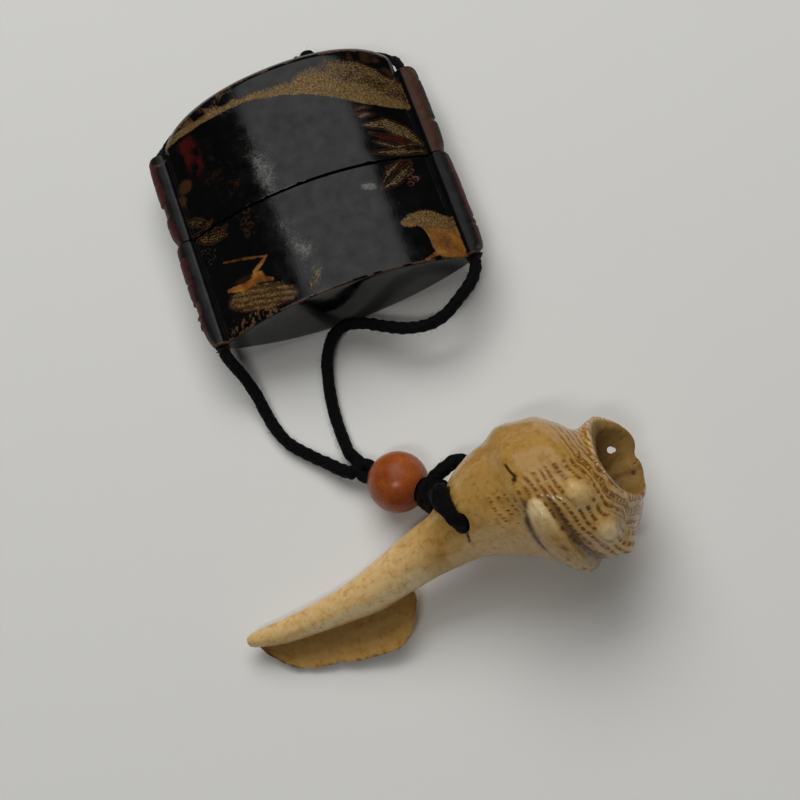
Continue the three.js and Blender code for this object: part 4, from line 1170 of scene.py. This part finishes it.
def makeHeldCord():
    for side, node, seed in ((-1, "cord_in_case_left", 41), (1, "cord_in_case_right", 42)):
        path = smoothRoute(heldRoute(side), cordSet["knotStep"])
        place(braidTube("held_" + node, path, cordSet["heldDiameter"] / 2, seed), silk, 180, "cord", node)
    at = np.array([knotX, farEnd(knotX) + cordSet["diameter"] / 2 + 1.2, midZ - 0.2])
    knot = turns((1.15, 43, knotPath(at, (1.75, 0.95, 1.45), (1, 0, 0))))
    for side in (-1, 1):      # its two tails
        tail = [at + [side * 1.2, -0.6, 0], at + [side * 2.2, -1.0, -0.6],
                at + [side * 3.1, -1.0 - 0.1 * side, -0.9]]
        knot += turns((0.95, 44 + side, tail))
    place(joined(knot, "knotUnderCase", 46, 0.8), silk, 180, "cord", "cord_end_knot")


def makeBeadCord():      # both strands side by side through the bead, running on into the free strands
    strands = []
    for side, free, seed in ((-1, rightRoute, 51), (1, leftRoute, 52)):
        held = [alongBead(d, side * across, up) for d, across, up in (
            (-8.2, 1.3, 0.3 * side), (-6.6, 1.05, 0), (-4.5, 1, 0), (0, 1, 0), (4.5, 1, 0), (7, 1.1, 0))]
        strands += turns((1.33, seed, free[-3:-1] + held))
    place(joined(strands, "strandsInBead", 53, 0.7), silk, 180, "cord", "cord_in_bead")


def makeToggleCord():      # the tight knot behind the bead, then the loop through the shell
    wrap = [alongBead(7.25 + 0.22 * t, 2.3 * math.cos(t) - 0.2, 2.2 * math.sin(t) + 0.2)
            for t in np.linspace(-0.6, 1.9 * fullTurn, 26)]      # two turns close against the bead
    knot = turns((1.35, 61, knotPath(alongBead(9.4), (1.3, 2.7, 2.0), beadAxis)),
                 (1.25, 62, [alongBead(*p) for p in ((8.4, 1.9, 0.9), (9.9, 2.2, -0.6), (10.9, 0.5, -1.6))]),
                 (1.3, 66, wrap))
    place(joined(knot, "knotBehindBead", 63, 0.8), silk, 180, "cord", "toggle_knot")
    # the loop's other strand is doubled back beside it as far as the hole
    beside = [[3.3, -87.2, 10.2], [3.7, -88.9, 11.5], [3.7, -91.2, 13.9]]
    beside += (np.array(loopRoute[2:5]) + [[-1.3, -0.6, 0.3], [-0.9, -0.5, 0.3], [0.1, 0.0, -0.1]]).tolist()
    whole = loopRoute + [[4.3, -80.5, 9.8], [3.1, -81.7, 9.9]]      # back to the knot
    loop = [braidTube("loop", smoothRoute(points, cordSet["step"]), cordSet[width] / 2, seed)
            for points, width, seed in ((whole, "loopDiameter", 64), (beside, "diameter", 67))]
    place(joined(loop, "loopThroughShell", 65, 0.7), silk, 180, "cord", "toggle_loop")


makeHeldCord()
makeBeadCord()
makeToggleCord()

# A pale table under a wide overhead softbox set beyond the case. A dimmer panel is what the lacquer mirrors,
# and a small lamp on the near side puts the highlights on shell and bead.
stageSet = {
    "table": "#DEDDD8", "tableRoughness": 0.6, "tableHalf": 1500,      # mm
    "room": "#B8BCC4", "roomStrength": 0.06,
    "lamps": [      # at and width and depth in metres, watts, whether polished surfaces mirror it
        ((0.0, 0.9, 1.05), 1.3, 1.1, 13.2, False),
        ((0.18, 0.62, 0.98), 1.06, 1.5, 5.0, True),
        ((-0.24, -0.55, 1.0), 0.3, 0.1, 2.2, True),
    ],
}


def makeStage():
    edge = stageSet["tableHalf"]
    corners = [[-edge, -edge, 0], [edge, -edge, 0], [edge, edge, 0], [-edge, edge, 0]]
    table = meshFrom("table", corners, [np.array([[0, 1, 2, 3]])])
    material, tree, shader = newMaterial("paleTable")
    setInputs(tree, shader, {"Base Color": stageSet["table"], "Roughness": stageSet["tableRoughness"]})
    table.data.materials.append(material)
    for at, width, depth, watts, mirrored in stageSet["lamps"]:
        light = bpy.data.lights.new("softbox", "AREA")
        light.shape = "RECTANGLE"
        light.size, light.size_y = width, depth
        light.energy = watts
        lamp = bpy.data.objects.new("softbox", light)
        lamp.location = at
        lamp.visible_glossy = mirrored
        bpy.context.scene.collection.objects.link(lamp)
    world = bpy.data.worlds.new("room")
    bpy.context.scene.world = world
    world.use_nodes = True
    setInputs(world.node_tree, world.node_tree.nodes["Background"], {
        0: stageSet["room"], 1: stageSet["roomStrength"]})
    bpy.context.scene.view_settings.view_transform = "Standard"
    print("stage: table and", len(stageSet["lamps"]), "lamps")


makeStage()
